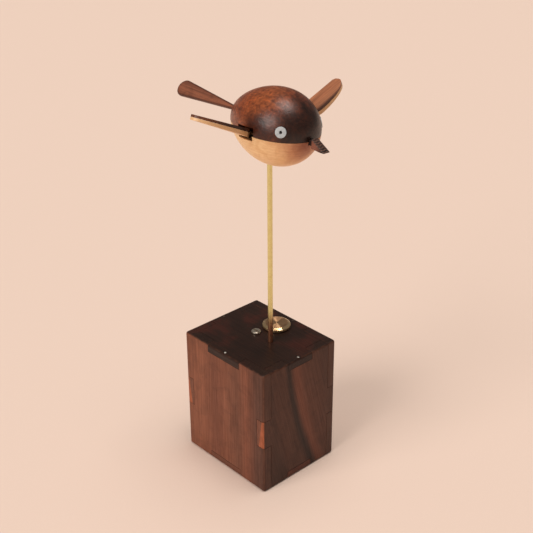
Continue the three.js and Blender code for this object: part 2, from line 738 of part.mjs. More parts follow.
const makeBody = () => {
  const half = bodyRadius + 10;
  const notchSide = beakTenonWidth / 2 + beakNotchGap;
  const hollows = [
    wingPin(1, fitGap),
    wingPin(-1, fitGap),
    rod(dowelRadius + fitGap, dowelUnder - looseGap, dowelTop + looseGap, [dowelX, 0], 10),
    ...[-1, 1].map((side) => eyeDisc(side, 0, eyeRadius + fitGap, -eyeDepth - 0.15, 3)),
    lengthwise(tailPegRadius + looseGap, -bodyHalfLength - 5, -bodyHalfLength + tailPegDepth + 0.3, 0, tailZ, 16),
    block(beakTenonBack - beakNotchGap, beakTip, -notchSide, notchSide,
      beakTenonUnder - beakNotchGap, beakTenonTop + beakNotchGap),
    rodHole(),
  ];
  const whole = cut(bodySolid(), hollows);
  const above = block(-half, half, -half, half, seamZ + seamGap / 2, half);
  const below = block(-half, half, -half, half, -half, seamZ - seamGap / 2);
  addPart(bird, 'bird_body_upper', cut(whole.intersect(above), wingSlots(slotFrontAbove)), rosewood);
  addPart(bird, 'bird_body_lower', cut(whole.intersect(below), wingSlots(slotFrontBelow)), maple);
  addPart(bird, 'body_dowel', rod(dowelRadius, dowelUnder, dowelTop, [dowelX, 0], 10), maple);
};

// The leading edge bulges out from a narrow root and sweeps back to a round tip; the trailing edge is straight.
const wingOutline = () => {
  const [lead, widest] = wingWidest;
  const [tipX, tipSpan] = wingTip;
  const points = [[wingRootTrail, -wingRootInside]];
  const steps = 8;
  for (let step = 0; step < steps; step += 1) {
    const share = step / steps;
    points.push([
      wingRootLead + (lead - wingRootLead) * sin(share * PI / 2),
      -wingRootInside + (widest + wingRootInside) * share,
    ]);
  }
  for (let step = 0; step <= steps; step += 1) {
    const angle = step / steps * PI / 2;
    points.push([
      tipX + (lead - tipX) * cos(angle),
      widest + (tipSpan - widest) * sin(angle),
    ]);
  }
  points.push([wingTipTrail[0] + 1, tipSpan - 0.4]);
  points.push(wingTipTrail);
  return points;
};

// A wing's two layers lie in its own plane, x forward and y outward, and thin towards the tip.
const makeWing = (side, name, dihedral) => {
  const hinge = new THREE.Group();
  hinge.position.set(0, side * wingPinSide, seamZ);
  hinge.rotation.set(side * dihedral, -wingPitch, 0, 'YXZ');
  const layer = ({ root, tip }, height) => {
    const outline = wingOutline().map(([x, span]) => [x, side * span]);
    const geometry = prism(side > 0 ? outline : outline.reverse(), 1);
    const places = geometry.attributes.position;
    for (let index = 0; index < places.count; index += 1) {
      const thick = root + (tip - root) * side * places.getY(index) / wingTip[1];
      places.setZ(index, height(places.getZ(index), thick));
    }
    return toSolid(geometry).subtract(lengthwise(wingPinRadius + fitGap, -30, 30, 0, 0));
  };
  const above = (share, thick) => layerGap / 2 + share * thick;
  const below = (share, thick) => -layerGap / 2 - (1 - share) * thick;
  addPart(hinge, `wing_${name}_walnut`, layer(wingWalnutThick, above), rosewood);
  addPart(hinge, `wing_${name}_maple`, layer(wingMapleThick, below), maple);
  bird.add(hinge);
  addPart(bird, `wing_${name}_pin`, wingPin(side), steel);
};

// The tail is a tapered paddle with a round end, turned about its own long axis.
const makeTail = () => {
  const stem = bodyHalfLength - 0.4;
  const endCentre = tailLength - tailEndRadius;
  const tangent = Math.asin((tailEndRadius - tailRootRadius) / endCentre);
  const outline = [[-1.5, -tailRootRadius], [0, -tailRootRadius]];
  const steps = 12;
  for (let step = 0; step <= steps; step += 1) {
    const angle = -PI / 2 - tangent + (PI + 2 * tangent) * step / steps;
    outline.push([endCentre + tailEndRadius * cos(angle), tailEndRadius * sin(angle)]);
  }
  outline.push([0, tailRootRadius], [-1.5, tailRootRadius]);
  const shape = new THREE.Shape(outline.map(([x, y]) => new THREE.Vector2(x, y)));
  const bevel = 0.6;
  const geometry = new THREE.ExtrudeGeometry(shape, {
    depth: tailThick - 2 * bevel,
    bevelEnabled: true,
    bevelThickness: bevel,
    bevelSize: bevel,
    bevelOffset: -bevel,
    bevelSegments: 1,
  });
  geometry.translate(0, 0, -tailThick / 2 + bevel);
  geometry.rotateX(tailTwist);
  geometry.rotateZ(PI);
  geometry.translate(-stem - 0.8, 0, tailZ);
  const peg = lengthwise(tailPegRadius, -stem - 1.6, -stem + tailPegDepth - 0.6, 0, tailZ, 16);
  addPart(bird, 'tail', toSolid(geometry).add(peg), rosewood);
};

// The beak is a wedge ahead of the body, its top sloping down to a blunt tip, on a narrower tenon.
const makeBeak = () => {
  const profile = [
    [beakBase, beakBaseUnder],
    beakChin,
    [beakTip, beakTipUnder],
    [beakTip, beakTipTop],
    [beakBase, beakBaseTop],
  ];
  const geometry = prism(profile, beakWidth);
  geometry.rotateX(PI / 2);
  geometry.translate(0, beakWidth / 2, 0);
  const tenon = block(
    beakTenonBack, beakBase + 1, -beakTenonWidth / 2, beakTenonWidth / 2, beakTenonUnder, beakTenonTop);
  addPart(bird, 'beak', toSolid(geometry).add(tenon), rosewood);
};

const makeEyes = () => {
  [[1, 'left'], [-1, 'right']].forEach(([side, name]) => {
    addPart(bird, `eye_ring_${name}`, eyeDisc(side, pupilRadius + boreGap, eyeRadius, -eyeDepth, 0.15), eyeWhite);
    addPart(bird, `eye_pupil_${name}`, eyeDisc(side, 0, pupilRadius, -eyeDepth + 0.1, 0.25), eyeBlack);
  });
};

bird.position.set(rodPlace[0], rodPlace[1] - birdAhead, boxZ + birdHeight);
bird.rotation.set(birdRoll, birdPitch, -PI / 2, 'ZYX');
bird.updateMatrixWorld(true);

// The upright hole for the rod, seen from the bird's own tilted frame.
const rodHole = () => {
  const geometry = new THREE.CylinderGeometry(rodRadius + looseGap, rodRadius + looseGap, 60, 12);
  geometry.rotateX(PI / 2);
  geometry.translate(rodPlace[0], rodPlace[1], rodTop + 0.3 - 30);
  geometry.applyMatrix4(bird.matrixWorld.clone().invert());
  return toSolid(geometry);
};

makeBox();
makeLidScrew();
makeFrame();
makeWinding();
makeClick();
makeBarrel();
makeCylinder();
makeComb();
makeGovernor();
makeFigureDrive();
makeBody();
makeWing(1, 'left', wingDihedralLeft);
makeWing(-1, 'right', wingDihedralRight);
makeTail();
makeBeak();
makeEyes();
musicBox.add(bird);

export default musicBox;
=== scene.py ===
"""A wind-up music box with a turning wooden bird: its looks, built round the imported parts.

Lengths are metres in the part's own frame, except that the bird's measures, turned profiles and
shader distances are millimetres. The bird's own frame has x forward, y to its left and z up.
"""
import json
import math

import bmesh
import bpy
from mathutils import Matrix, Vector


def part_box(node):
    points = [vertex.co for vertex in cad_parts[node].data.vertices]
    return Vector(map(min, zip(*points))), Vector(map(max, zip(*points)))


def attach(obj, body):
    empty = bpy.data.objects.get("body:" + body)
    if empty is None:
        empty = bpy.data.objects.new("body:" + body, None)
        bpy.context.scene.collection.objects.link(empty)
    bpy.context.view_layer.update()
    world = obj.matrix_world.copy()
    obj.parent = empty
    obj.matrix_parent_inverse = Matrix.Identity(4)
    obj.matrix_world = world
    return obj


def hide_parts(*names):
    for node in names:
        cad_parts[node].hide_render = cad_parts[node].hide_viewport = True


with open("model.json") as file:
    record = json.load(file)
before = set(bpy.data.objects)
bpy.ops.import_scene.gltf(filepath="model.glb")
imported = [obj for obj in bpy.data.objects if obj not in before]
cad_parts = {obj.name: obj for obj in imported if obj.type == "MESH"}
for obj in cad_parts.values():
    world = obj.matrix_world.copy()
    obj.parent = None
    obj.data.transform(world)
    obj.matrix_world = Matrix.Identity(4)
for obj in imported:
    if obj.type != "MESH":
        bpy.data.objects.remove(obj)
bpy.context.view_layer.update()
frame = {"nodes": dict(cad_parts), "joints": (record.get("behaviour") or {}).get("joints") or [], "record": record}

MM = 0.001
X_AXIS = Vector((1, 0, 0))
Y_AXIS = Vector((0, 1, 0))
Z_AXIS = Vector((0, 0, 1))

nodes = frame["nodes"]
joints = {joint["name"]: joint for joint in frame["joints"]}
box_low = Vector(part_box("box_wall_left")[0])
box_high = Vector(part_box("box_wall_right")[1])
box_size = box_high - box_low
lid_top = box_high.z


def middle(node):
    """The middle of a CAD node's box."""
    low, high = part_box(node)
    return (low + high) / 2


# ---- the bird's measures, in millimetres in its own frame ----
BODY_HALF_LENGTH = 29.4
BODY_RADIUS = 21.1
# The body's radius is an ellipse's times 1 + fullness f + bluntness f^2; f is -1 at the tail, 1 in front.
BODY_FULLNESS = 0.18
BODY_BLUNTNESS = -0.06
SEAM_Z = -1.45
SEAM_GAP = 0.1
SEAM_EASE = 0.16
WING_PITCH = math.radians(6)
WING_WIDTH = 15
WING_PIN_SIDE = 17.4
WING_PIN_RADIUS = 0.75
WING_PIN_BACK = -8.8
WING_PIN_FRONT = 9.4
# A wing's slot, in its hinge's pitched frame. Its front differs above (1) and below (-1) the seam.
SLOT_BACK = -6.6
SLOT_FRONT = {1: 7.2, -1: 6.2}
SLOT_INNER_SIDE = 14.5
SLOT_OUTER_REACH = 10
SLOT_FLOOR = -3.3
SLOT_TOP = 4.1
TAIL_Z = 0.6
TAIL_TWIST = math.radians(-48)
TAIL_START = -29.8
TAIL_END_CENTRE = 46.15
TAIL_END_RADIUS = 5.15
TAIL_ROOT_RADIUS = 1.15
TAIL_HOLE_RADIUS = 1.7
TAIL_HOLE_DEPTH = 8.3
ROD_HOLE_RADIUS = 1.7
BEAK_BASE = 31.9
BEAK_TIP = 41.2
BEAK_TOP_AT_BASE = 0.95
BEAK_TOP_AT_TIP = -4.05
BEAK_NOTCH = ((23.4, -1.7, -3.5), (BEAK_TIP, 1.7, 0.1))
EYE_FORWARD = math.radians(43)
EYE_UP = math.radians(15.5)
EYE_RADIUS = 3.02
EYE_DEPTH = 1.5
PUPIL_RADIUS = 0.78
FIT_GAP = 0.15


def bird_frame():
    """The matrix from the bird's frame, in millimetres, to the part's frame."""
    left_hinge = Vector(joints["wing_left_flap"]["pos_m"])
    right_hinge = Vector(joints["wing_right_flap"]["pos_m"])
    hinge = Vector(joints["wing_left_flap"]["axis"]).normalized()
    left = (left_hinge - right_hinge).normalized()
    forward = hinge * math.cos(WING_PITCH) - hinge.cross(left) * math.sin(WING_PITCH)
    up = forward.cross(left)
    origin = (left_hinge + right_hinge) / 2 - up * SEAM_Z * MM
    turn = Matrix((forward, left, up)).transposed().to_4x4()
    return Matrix.Translation(origin) @ turn @ Matrix.Scale(MM, 4)


BIRD = bird_frame()
BIRD_FORWARD = (BIRD.to_3x3() @ X_AXIS).normalized()
BIRD_LEFT = (BIRD.to_3x3() @ Y_AXIS).normalized()
BIRD_UP = (BIRD.to_3x3() @ Z_AXIS).normalized()
BIRD_ORIGIN = BIRD.translation


# ---- camera, floor and light ----
def make_camera():
    place = Vector((-0.3752, -0.4111, 0.4174))
    heading = Vector((0.6799, 0.7333, 0)).normalized()
    down = math.radians(27.19)
    roll = math.radians(-0.35)
    look = heading * math.cos(down) - Z_AXIS * math.sin(down)
    level = Vector((heading.y, -heading.x, 0))
    over = level.cross(look)
    right = level * math.cos(roll) + over * math.sin(roll)
    up = over * math.cos(roll) - level * math.sin(roll)
    data = bpy.data.cameras.new("camera")
    data.sensor_width = 36
    data.lens = 71.3
    data.clip_start = 0.05
    data.clip_end = 50
    camera = bpy.data.objects.new("camera", data)
    turn = Matrix((right, up, -look)).transposed().to_4x4()
    camera.matrix_world = Matrix.Translation(place) @ turn
    bpy.context.scene.collection.objects.link(camera)
    bpy.context.scene.camera = camera


def make_sun(name, towards, strength, width, colour):
    """A distant soft light; towards points from the object to the light, width is its size in degrees."""
    data = bpy.data.lights.new(name, "SUN")
    data.energy = strength
    data.angle = math.radians(width)
    data.color = colour
    light = bpy.data.objects.new(name, data)
    light.rotation_mode = "QUATERNION"
    light.rotation_quaternion = Vector(towards).to_track_quat("Z", "Y")
    bpy.context.scene.collection.objects.link(light)


def make_world():
    world = bpy.data.worlds.new("studio")
    world.use_nodes = True
    background = world.node_tree.nodes["Background"]
    background.inputs["Color"].default_value = (1.0, 0.94, 0.88, 1)
    background.inputs["Strength"].default_value = 0.16
    bpy.context.scene.world = world


def make_stage():
    scene = bpy.context.scene
    scene.view_settings.view_transform = "Standard"
    make_world()
    make_sun("overhead", (0.06, -0.08, 0.99), 1.74, 32, (1.0, 0.97, 0.93))
    make_sun("side", (-0.87, 0.04, 0.52), 1.75, 38, (1.0, 0.96, 0.92))
    reach = 6.0
    mesh = bpy.data.meshes.new("floor")
    corners = [(-reach, -reach, 0), (reach, -reach, 0), (reach, reach, 0), (-reach, reach, 0)]
    mesh.from_pydata(corners, [], [(0, 1, 2, 3)])
    floor = bpy.data.objects.new("floor", mesh)
    scene.collection.objects.link(floor)
    shader = Shader("floor_paper")
    speck = shader.noise(shader.place, 900, 2, 0.5)
    shader.colour(shader.ramp(speck, [(0.3, (0.862, 0.663, 0.556)), (0.7, (0.878, 0.675, 0.566))]))
    shader.finish(roughness=0.9, specular=0.1)
    mesh.materials.append(shader.material)


# ---- shaders ----
class Shader:
    """One material's node tree, with a short method for each kind of node used."""

    def __init__(self, name):
        self.material = bpy.data.materials.new(name)
        self.material.use_nodes = True
        self.tree = self.material.node_tree
        self.tree.nodes.clear()
        self.surface = self.tree.nodes.new("ShaderNodeBsdfPrincipled")
        output = self.tree.nodes.new("ShaderNodeOutputMaterial")
        self.link(self.surface.outputs["BSDF"], output.inputs["Surface"])
        coordinates = self.tree.nodes.new("ShaderNodeTexCoord")
        self.place = coordinates.outputs["Object"]
        self.facing = coordinates.outputs["Normal"]

    def link(self, source, target):
        self.tree.links.new(source, target)

    def put(self, socket, value):
        if isinstance(value, bpy.types.NodeSocket):
            self.link(value, socket)
        else:
            socket.default_value = value

    def math(self, operation, first, second=0.0, third=0.0):
        node = self.tree.nodes.new("ShaderNodeMath")
        node.operation = operation
        for socket, value in zip(node.inputs, (first, second, third)):
            self.put(socket, value)
        return node.outputs[0]

    def times(self, first, second):
        return self.math("MULTIPLY", first, second)

    def minus(self, first, second):
        return self.math("SUBTRACT", first, second)

    def size(self, value):
        return self.math("ABSOLUTE", value)

    def times_plus(self, first, second, third):
        """first times second, plus third."""
        return self.math("MULTIPLY_ADD", first, second, third)

    def length(self, first, second):
        """The length of a flat vector with these two parts."""
        return self.math("POWER", self.times_plus(first, first, self.times(second, second)), 0.5)

    def facing_along(self, axis):
        """How much the surface faces along an axis: 1 squarely, 0 edge on."""
        dot = self.tree.nodes.new("ShaderNodeVectorMath")
        dot.operation = "DOT_PRODUCT"
        self.link(self.facing, dot.inputs[0])
        self.put(dot.inputs[1], tuple(Vector(axis).normalized()))
        return dot.outputs["Value"]

    def along(self, axis, origin=(0, 0, 0)):
        """Millimetres from origin in the direction of axis."""
        shift = self.tree.nodes.new("ShaderNodeVectorMath")
        shift.operation = "SUBTRACT"
        self.put(shift.inputs[0], self.place)
        self.put(shift.inputs[1], tuple(origin))
        dot = self.tree.nodes.new("ShaderNodeVectorMath")
        dot.operation = "DOT_PRODUCT"
        self.link(shift.outputs["Vector"], dot.inputs[0])
        self.put(dot.inputs[1], tuple(Vector(axis).normalized() / MM))
        return dot.outputs["Value"]

    def reach(self, centre):
        """Distance in mm from a point."""
        node = self.tree.nodes.new("ShaderNodeVectorMath")
        node.operation = "DISTANCE"
        self.put(node.inputs[0], self.place)
        self.put(node.inputs[1], tuple(centre))
        return self.times(node.outputs["Value"], 1 / MM)

    def combine(self, x, y, z):
        node = self.tree.nodes.new("ShaderNodeCombineXYZ")
        for socket, value in zip(node.inputs, (x, y, z)):
            self.put(socket, value)
        return node.outputs["Vector"]

    def scaled(self, vector, factors):
        node = self.tree.nodes.new("ShaderNodeVectorMath")
        node.operation = "MULTIPLY"
        self.put(node.inputs[0], vector)
        self.put(node.inputs[1], factors)
        return node.outputs["Vector"]

    def noise(self, vector, scale, detail=2.0, roughness=0.5, distortion=0.0, seed=0.0):
        node = self.tree.nodes.new("ShaderNodeTexNoise")
        node.noise_dimensions = "4D"
        self.put(node.inputs["Vector"], vector)
        self.put(node.inputs["W"], seed)
        self.put(node.inputs["Scale"], scale)
        self.put(node.inputs["Detail"], detail)
        self.put(node.inputs["Roughness"], roughness)
        self.put(node.inputs["Distortion"], distortion)
        return node.outputs[0]

    def spread(self, value, low, high, start=0.0, end=1.0):
        """value from low..high spread over start..end, held at the ends."""
        node = self.tree.nodes.new("ShaderNodeMapRange")
        node.interpolation_type = "SMOOTHSTEP"
        for key, given in (("Value", value), ("From Min", low), ("From Max", high),
                           ("To Min", start), ("To Max", end)):
            self.put(node.inputs[key], given)
        return node.outputs["Result"]

    def ramp(self, value, stops):
        node = self.tree.nodes.new("ShaderNodeValToRGB")
        elements = node.color_ramp.elements
        while len(elements) < len(stops):
            elements.new(0.5)
        for element, (position, colour) in zip(elements, stops):
            element.position = position
            element.color = (*colour, 1)
        self.put(node.inputs["Fac"], value)
        return node.outputs["Color"]

    def mix(self, share, first, second, blend="MIX"):
        node = self.tree.nodes.new("ShaderNodeMix")
        node.data_type = "RGBA"
        node.blend_type = blend
        colours = [socket for socket in node.inputs if socket.type == "RGBA"]
        self.put(node.inputs[0], share)
        for socket, value in zip(colours, (first, second)):
            self.put(socket, value if isinstance(value, bpy.types.NodeSocket) else (*value, 1))
        return [socket for socket in node.outputs if socket.type == "RGBA"][0]

    def tint(self, share, base, factors):
        """base times factors, by that share."""
        return self.mix(share, base, factors, "MULTIPLY")

    def colour(self, value):
        self.put(self.surface.inputs["Base Color"], value)

    def bump(self, *layers):
        """layers are (height, depth in metres); each is laid over the one before."""
        before = None
        for height, depth in layers:
            node = self.tree.nodes.new("ShaderNodeBump")
            self.put(node.inputs["Height"], height)
            self.put(node.inputs["Distance"], depth)
            if before:
                self.link(before, node.inputs["Normal"])
            before = node.outputs["Normal"]
        self.link(before, self.surface.inputs["Normal"])

    def finish(self, roughness, metallic=0.0, specular=0.5, coat=0.0, coat_roughness=0.1, anisotropic=0.0):
        self.put(self.surface.inputs["Roughness"], roughness)
        self.surface.inputs["Metallic"].default_value = metallic
        self.surface.inputs["Specular IOR Level"].default_value = specular
        self.surface.inputs["Coat Weight"].default_value = coat
        self.surface.inputs["Coat Roughness"].default_value = coat_roughness
        self.surface.inputs["Anisotropic"].default_value = anisotropic


def rgb(red, green, blue):
    """A colour given as it shows on a screen, 0 to 255, made linear."""
    def linear(value):
        value = value / 255
        return value / 12.92 if value <= 0.04045 else ((value + 0.055) / 1.055) ** 2.4
    return (linear(red), linear(green), linear(blue))


PALE_GRAIN = (0.72, 0.55, 0.42)


class Wood(Shader):
    """Solid wood: its grain runs along one axis, its broad tones lie across another, in mm from origin."""

    def __init__(self, name, grain, across, origin, seed):
        super().__init__(name)
        self.seed = seed
        self.u = self.along(across, origin)
        self.v = self.along(Vector(grain).cross(Vector(across)), origin)
        self.w = self.along(grain, origin)

    def clouds(self, scale, detail, roughness, distortion, offset=0.0):
        """Noise that is as long as it is wide."""
        solid = self.combine(self.u, self.v, self.w)
        return self.noise(solid, scale, detail, roughness, distortion, self.seed + offset)

    def fibres(self, scale, stretch, detail=3.0, offset=0.0):
        """Noise drawn out along the grain: scale is its fineness per mm across, stretch how long it is."""
        vector = self.combine(self.u, self.v, self.times(self.w, 1 / stretch))
        return self.noise(vector, scale, detail, 0.6, seed=self.seed + offset)

    def wobble(self, amount, scale, stretch, offset=3.0):
        """The across coordinate, shifted by slow noise so that no line is straight."""
        shift = self.minus(self.fibres(scale, stretch, 2, offset), 0.5)
        return self.times_plus(shift, amount * 2, self.u)

    def tones(self, across, width, stops):
        """Colours from one side of a piece of that width to the other."""
        return self.ramp(self.times_plus(across, 1 / width, 0.5), stops)

    def dress(self, base, rings=0.35, ring_pitch=2.2, pores=0.55, streaks=0.35, darker=(0.35, 0.3, 0.28),
              roughness=(0.34, 0.5), relief=0.00006):
        """Growth rings, fibres, pores and their relief over a base colour."""
        ring = self.math("SINE", self.times(self.wobble(2.5, 0.05, 6, 7.0), 2 * math.pi / ring_pitch))
        ring_patches = self.spread(self.fibres(0.09, 5, 2, 11.0), 0.35, 0.65)
        ring = self.times(self.spread(ring, 0.1, 1.0), ring_patches)
        colour = self.tint(self.times(ring, rings), base, darker)
        fibre = self.fibres(1.1, 30, 4, 17.0)
        colour = self.tint(self.spread(fibre, 0.62, 0.36, 0, streaks), colour, darker)
        colour = self.tint(self.spread(fibre, 0.5, 0.75, 0, streaks * 0.5), colour, (1.6, 1.5, 1.45))
        pore = self.spread(self.fibres(3.2, 16, 2, 23.0), 0.66, 0.72)
        colour = self.tint(self.times(pore, pores), colour, (0.25, 0.2, 0.18))
        smooth_share, rough_share = roughness
        rough = self.spread(fibre, 0.3, 0.7, rough_share, smooth_share)
        self.rough = self.times_plus(pore, 0.2, rough)
        self.relief = [(fibre, relief), (self.minus(1.0, pore), relief)]
        return colour

    def done(self, colour, coat=0.25, coat_roughness=0.25, specular=0.5):
        self.colour(colour)
        self.bump(*self.relief)
        self.finish(self.rough, specular=specular, coat=coat, coat_roughness=coat_roughness)
        return self.material


# ---- the box's woods ----
def edge_share(shader):
    """1 where the surface turns over an edge of the upright box, 0 on its flat faces."""
    parts = [shader.size(shader.facing_along(axis)) for axis in (X_AXIS, Y_AXIS, Z_AXIS)]
    largest = shader.math("MAXIMUM", shader.math("MAXIMUM", parts[0], parts[1]), parts[2])
    return shader.spread(largest, 0.97, 0.8)


def top_share(shader):
    """1 on the top faces of the box, 0 on its sides."""
    return shader.spread(shader.facing_along(Z_AXIS), 0.35, 0.8)


def dark_top(shader):
    """The lid's tone: almost black brown with faint redder clouds."""
    cloud = shader.noise(shader.place, 42, 3, 0.55, 0.6, 91.0)
    return shader.ramp(cloud, [
        (0.30, rgb(44, 29, 23)),
        (0.50, rgb(52, 33, 26)),
        (0.62, rgb(70, 36, 28)),
        (0.72, rgb(50, 31, 25)),
    ])


def box_wood(name, grain, across, width, stops, seed, detail=None, wear=0.4, gloss=(0.38, 0.52)):
    """Walnut for one board of the box; detail is a function that adds features to its base colour."""
    shader = Wood(name, grain, across, (box_low + box_high) / 2, seed)
    base = shader.tones(shader.wobble(2.2, 0.045, 4), width, stops)
    patch = shader.spread(shader.fibres(0.07, 3, 4, 31.0), 0.4, 0.66, 0, 0.5)
    base = shader.tint(patch, base, (0.7, 0.64, 0.6))
    smudge = shader.clouds(0.11, 5, 0.65, 0.8, 37)
    base = shader.tint(shader.spread(smudge, 0.47, 0.62, 0, 0.42), base, (0.62, 0.62, 0.64))
    if detail:
        base = detail(shader, base)
    base = shader.mix(top_share(shader), base, dark_top(shader))
    colour = shader.dress(base, rings=0.14, ring_pitch=3.1, streaks=0.3, roughness=gloss)
    rubbed = shader.spread(shader.noise(shader.place, 220, 3), 0.4, 0.65)
    worn = shader.times(edge_share(shader), rubbed)
    colour = shader.mix(shader.times(worn, wear), colour, rgb(112, 72, 54))
    return shader.done(colour, coat=0.05, coat_roughness=0.35, specular=0.18)


def streak(shader, bend, foot_width, top_width, offset=0.0):
    """1 on a curved line up an end wall, x = a + b z + c z^2 in mm, fading to 0 at its width's edge."""
    height = shader.along(Z_AXIS)
    start, slope, curve = bend
    line = shader.times_plus(height, shader.times_plus(height, curve, slope), start + offset)
    sway = shader.minus(shader.fibres(0.12, 8, 3, 41.0), 0.5)
    x = shader.times_plus(sway, 3.0, shader.along(X_AXIS))
    away = shader.size(shader.minus(x, line))
    widening = (top_width - foot_width) / (box_size.z / MM)
    width = shader.times_plus(height, widening, foot_width)
    return shader.spread(shader.math("DIVIDE", away, width), 0.0, 1.0, 1.0, 0.0)


def tab_ends(shader, base):
    """The end wall's tabs where they show on the side walls, with a paler wedge at each corner."""
    reach = shader.size(shader.along(X_AXIS))
    side_face = box_high.x / MM
    outside = shader.spread(reach, side_face - 0.9, side_face - 0.4)
    base = shader.mix(outside, base, rgb(120, 74, 56))
    inset = shader.minus(box_high.y / MM, shader.size(shader.along(Y_AXIS)))
    above_middle = shader.minus(shader.along(Z_AXIS), box_size.z / 2 / MM)
    wedge_width = 3.1
    wedge_slope = -0.147
    limit = shader.times_plus(above_middle, wedge_slope, wedge_width)
    wedge = shader.spread(shader.minus(inset, limit), -0.5, 0.5, 0.9, 0.0)
    return shader.mix(shader.times(outside, wedge), base, rgb(170, 94, 62))


def end_wall_figure(shader, base):
    """Curved dark streaks, a redder band beside the main one, a darker foot and the tabs' ends."""
    main_bend = (12.0, -0.434, 0.00205)
    second_bend = (-13.5, -0.167, 0.00027)
    for bend, foot_width, top_width, offset, strength, tone in (
        (main_bend, 6.5, 5.5, 6.5, 0.8, rgb(126, 74, 55)),
        (main_bend, 6.0, 4.2, 0.0, 0.85, rgb(44, 31, 26)),
        (second_bend, 9.0, 3.5, 0.0, 0.35, rgb(48, 34, 28)),
    ):
        share = streak(shader, bend, foot_width, top_width, offset)
        base = shader.mix(shader.times(share, strength), base, tone)
    foot = shader.spread(shader.along(Z_AXIS), 45, 0, 0, 0.5)
    base = shader.tint(foot, base, (0.62, 0.62, 0.64))
    return tab_ends(shader, base)


def side_wall_wood(name, seed):
    stops = [
        (0.00, rgb(92, 60, 48)),
        (0.10, rgb(98, 62, 49)),
        (0.22, rgb(132, 78, 57)),
        (0.34, rgb(116, 72, 54)),
        (0.50, rgb(138, 84, 62)),
        (0.62, rgb(124, 74, 55)),
        (0.80, rgb(142, 86, 62)),
        (1.00, rgb(134, 80, 58)),
    ]
    return box_wood(name, Z_AXIS, Y_AXIS, box_size.y / MM, stops, seed)


def end_wall_wood(name, seed):
    lean = 0.25
    grain = (Z_AXIS - X_AXIS * lean).normalized()
    across = (X_AXIS + Z_AXIS * lean).normalized()
    stops = [
        (0.00, rgb(86, 56, 44)),
        (0.20, rgb(96, 60, 46)),
        (0.40, rgb(90, 57, 44)),
        (0.60, rgb(108, 66, 50)),
        (0.80, rgb(98, 61, 47)),
        (1.00, rgb(84, 54, 43)),
    ]
    return box_wood(name, grain, across, box_size.x / MM, stops, seed, detail=end_wall_figure)


def lid_wood(name, seed):
    stops = [(0.0, rgb(50, 32, 26)), (1.0, rgb(54, 34, 28))]
    return box_wood(name, Y_AXIS, X_AXIS, box_size.x / MM, stops, seed, wear=0.25, gloss=(0.3, 0.44))


def floor_board_wood(name, seed):
    stops = [
        (0.0, rgb(122, 74, 55)),
        (0.2, rgb(112, 66, 50)),
        (0.5, rgb(98, 54, 41)),
        (0.8, rgb(104, 62, 48)),
        (1.0, rgb(116, 72, 54)),
    ]
    return box_wood(name, Y_AXIS, X_AXIS, box_size.x / MM, stops, seed)


# ---- the bird's woods ----
def body_tones(shader, drift, amount, stops):
    """Colours from the tail end of the body to its nose, their borders shifted by slow noise."""
    tone_length = 60
    place = shader.times_plus(shader.minus(drift, 0.5), amount, shader.w)
    return shader.ramp(shader.times_plus(place, 1 / tone_length, 0.5), stops)


def shaded_inside(shader, base):
    """Painted shade: darkens what lies below the round body's skin, the insides of its slots and notches."""
    forward = shader.times(shader.along(BIRD_FORWARD, BIRD_ORIGIN), 1 / BODY_HALF_LENGTH)
    bulge = shader.times_plus(forward, BODY_BLUNTNESS, BODY_FULLNESS)
    full = shader.times_plus(forward, bulge, 1.0)
    round_share = shader.math("POWER", shader.minus(1.0, shader.times(forward, forward)), 0.5)
    skin = shader.times(shader.times(full, round_share), BODY_RADIUS)
    left = shader.along(BIRD_LEFT, BIRD_ORIGIN)
    up = shader.along(BIRD_UP, BIRD_ORIGIN)
    depth = shader.minus(skin, shader.length(left, up))
    return shader.tint(shader.spread(depth, 0.3, 1.8, 0, 0.85), base, (0.2, 0.15, 0.12))


def back_wood(name, seed):
    """The bird's dark upper half: red-brown and curly behind, almost black in front, partly the wood's own tone
    and partly painted shade.
    """
    shader = Wood(name, BIRD_FORWARD, BIRD_LEFT, BIRD_ORIGIN, seed)
    # The darkest stops towards the nose are partly the wood's tone and partly painted shade on the side turned
    # from the lights.
    base = body_tones(shader, shader.clouds(0.075, 3, 0.55, 0.8), 26, [
        (0.0, rgb(112, 48, 22)),
        (0.28, rgb(140, 68, 33)),
        (0.6, rgb(157, 84, 46)),
        (0.76, rgb(112, 55, 32)),
        (0.88, rgb(58, 30, 20)),
        (1.0, rgb(34, 19, 14)),
    ])
    fleck = shader.clouds(0.24, 4, 0.6, 2.0, 5)
    base = shader.tint(shader.spread(fleck, 0.5, 0.66, 0, 0.6), base, (1.75, 1.5, 1.25))
    base = shader.tint(shader.spread(fleck, 0.49, 0.34, 0, 0.75), base, (0.4, 0.32, 0.3))
    swirl = shader.clouds(0.12, 4, 0.6, 2.2, 9)
    base = shader.tint(shader.spread(swirl, 0.46, 0.6, 0, 0.5), base, (0.45, 0.38, 0.36))
    # Painted shade: a soft dark patch round the front of each wing slot, where the wing's root shades the body.
    for way in (-1, 1):
        slot_end = BIRD @ Vector((8.5, way * 18.5, 2.5))
        shade = shader.spread(shader.reach(slot_end), 13.0, 5.0, 0, 0.95)
        base = shader.tint(shade, base, (0.16, 0.11, 0.1))
    base = shaded_inside(shader, base)
    colour = shader.dress(base, rings=0.25, ring_pitch=4.0, pores=0.4, streaks=0.3,
                          roughness=(0.3, 0.42), relief=0.00006)
    shader.relief.append((fleck, 0.00014))
    return shader.done(colour, coat=0.08, coat_roughness=0.3, specular=0.42)


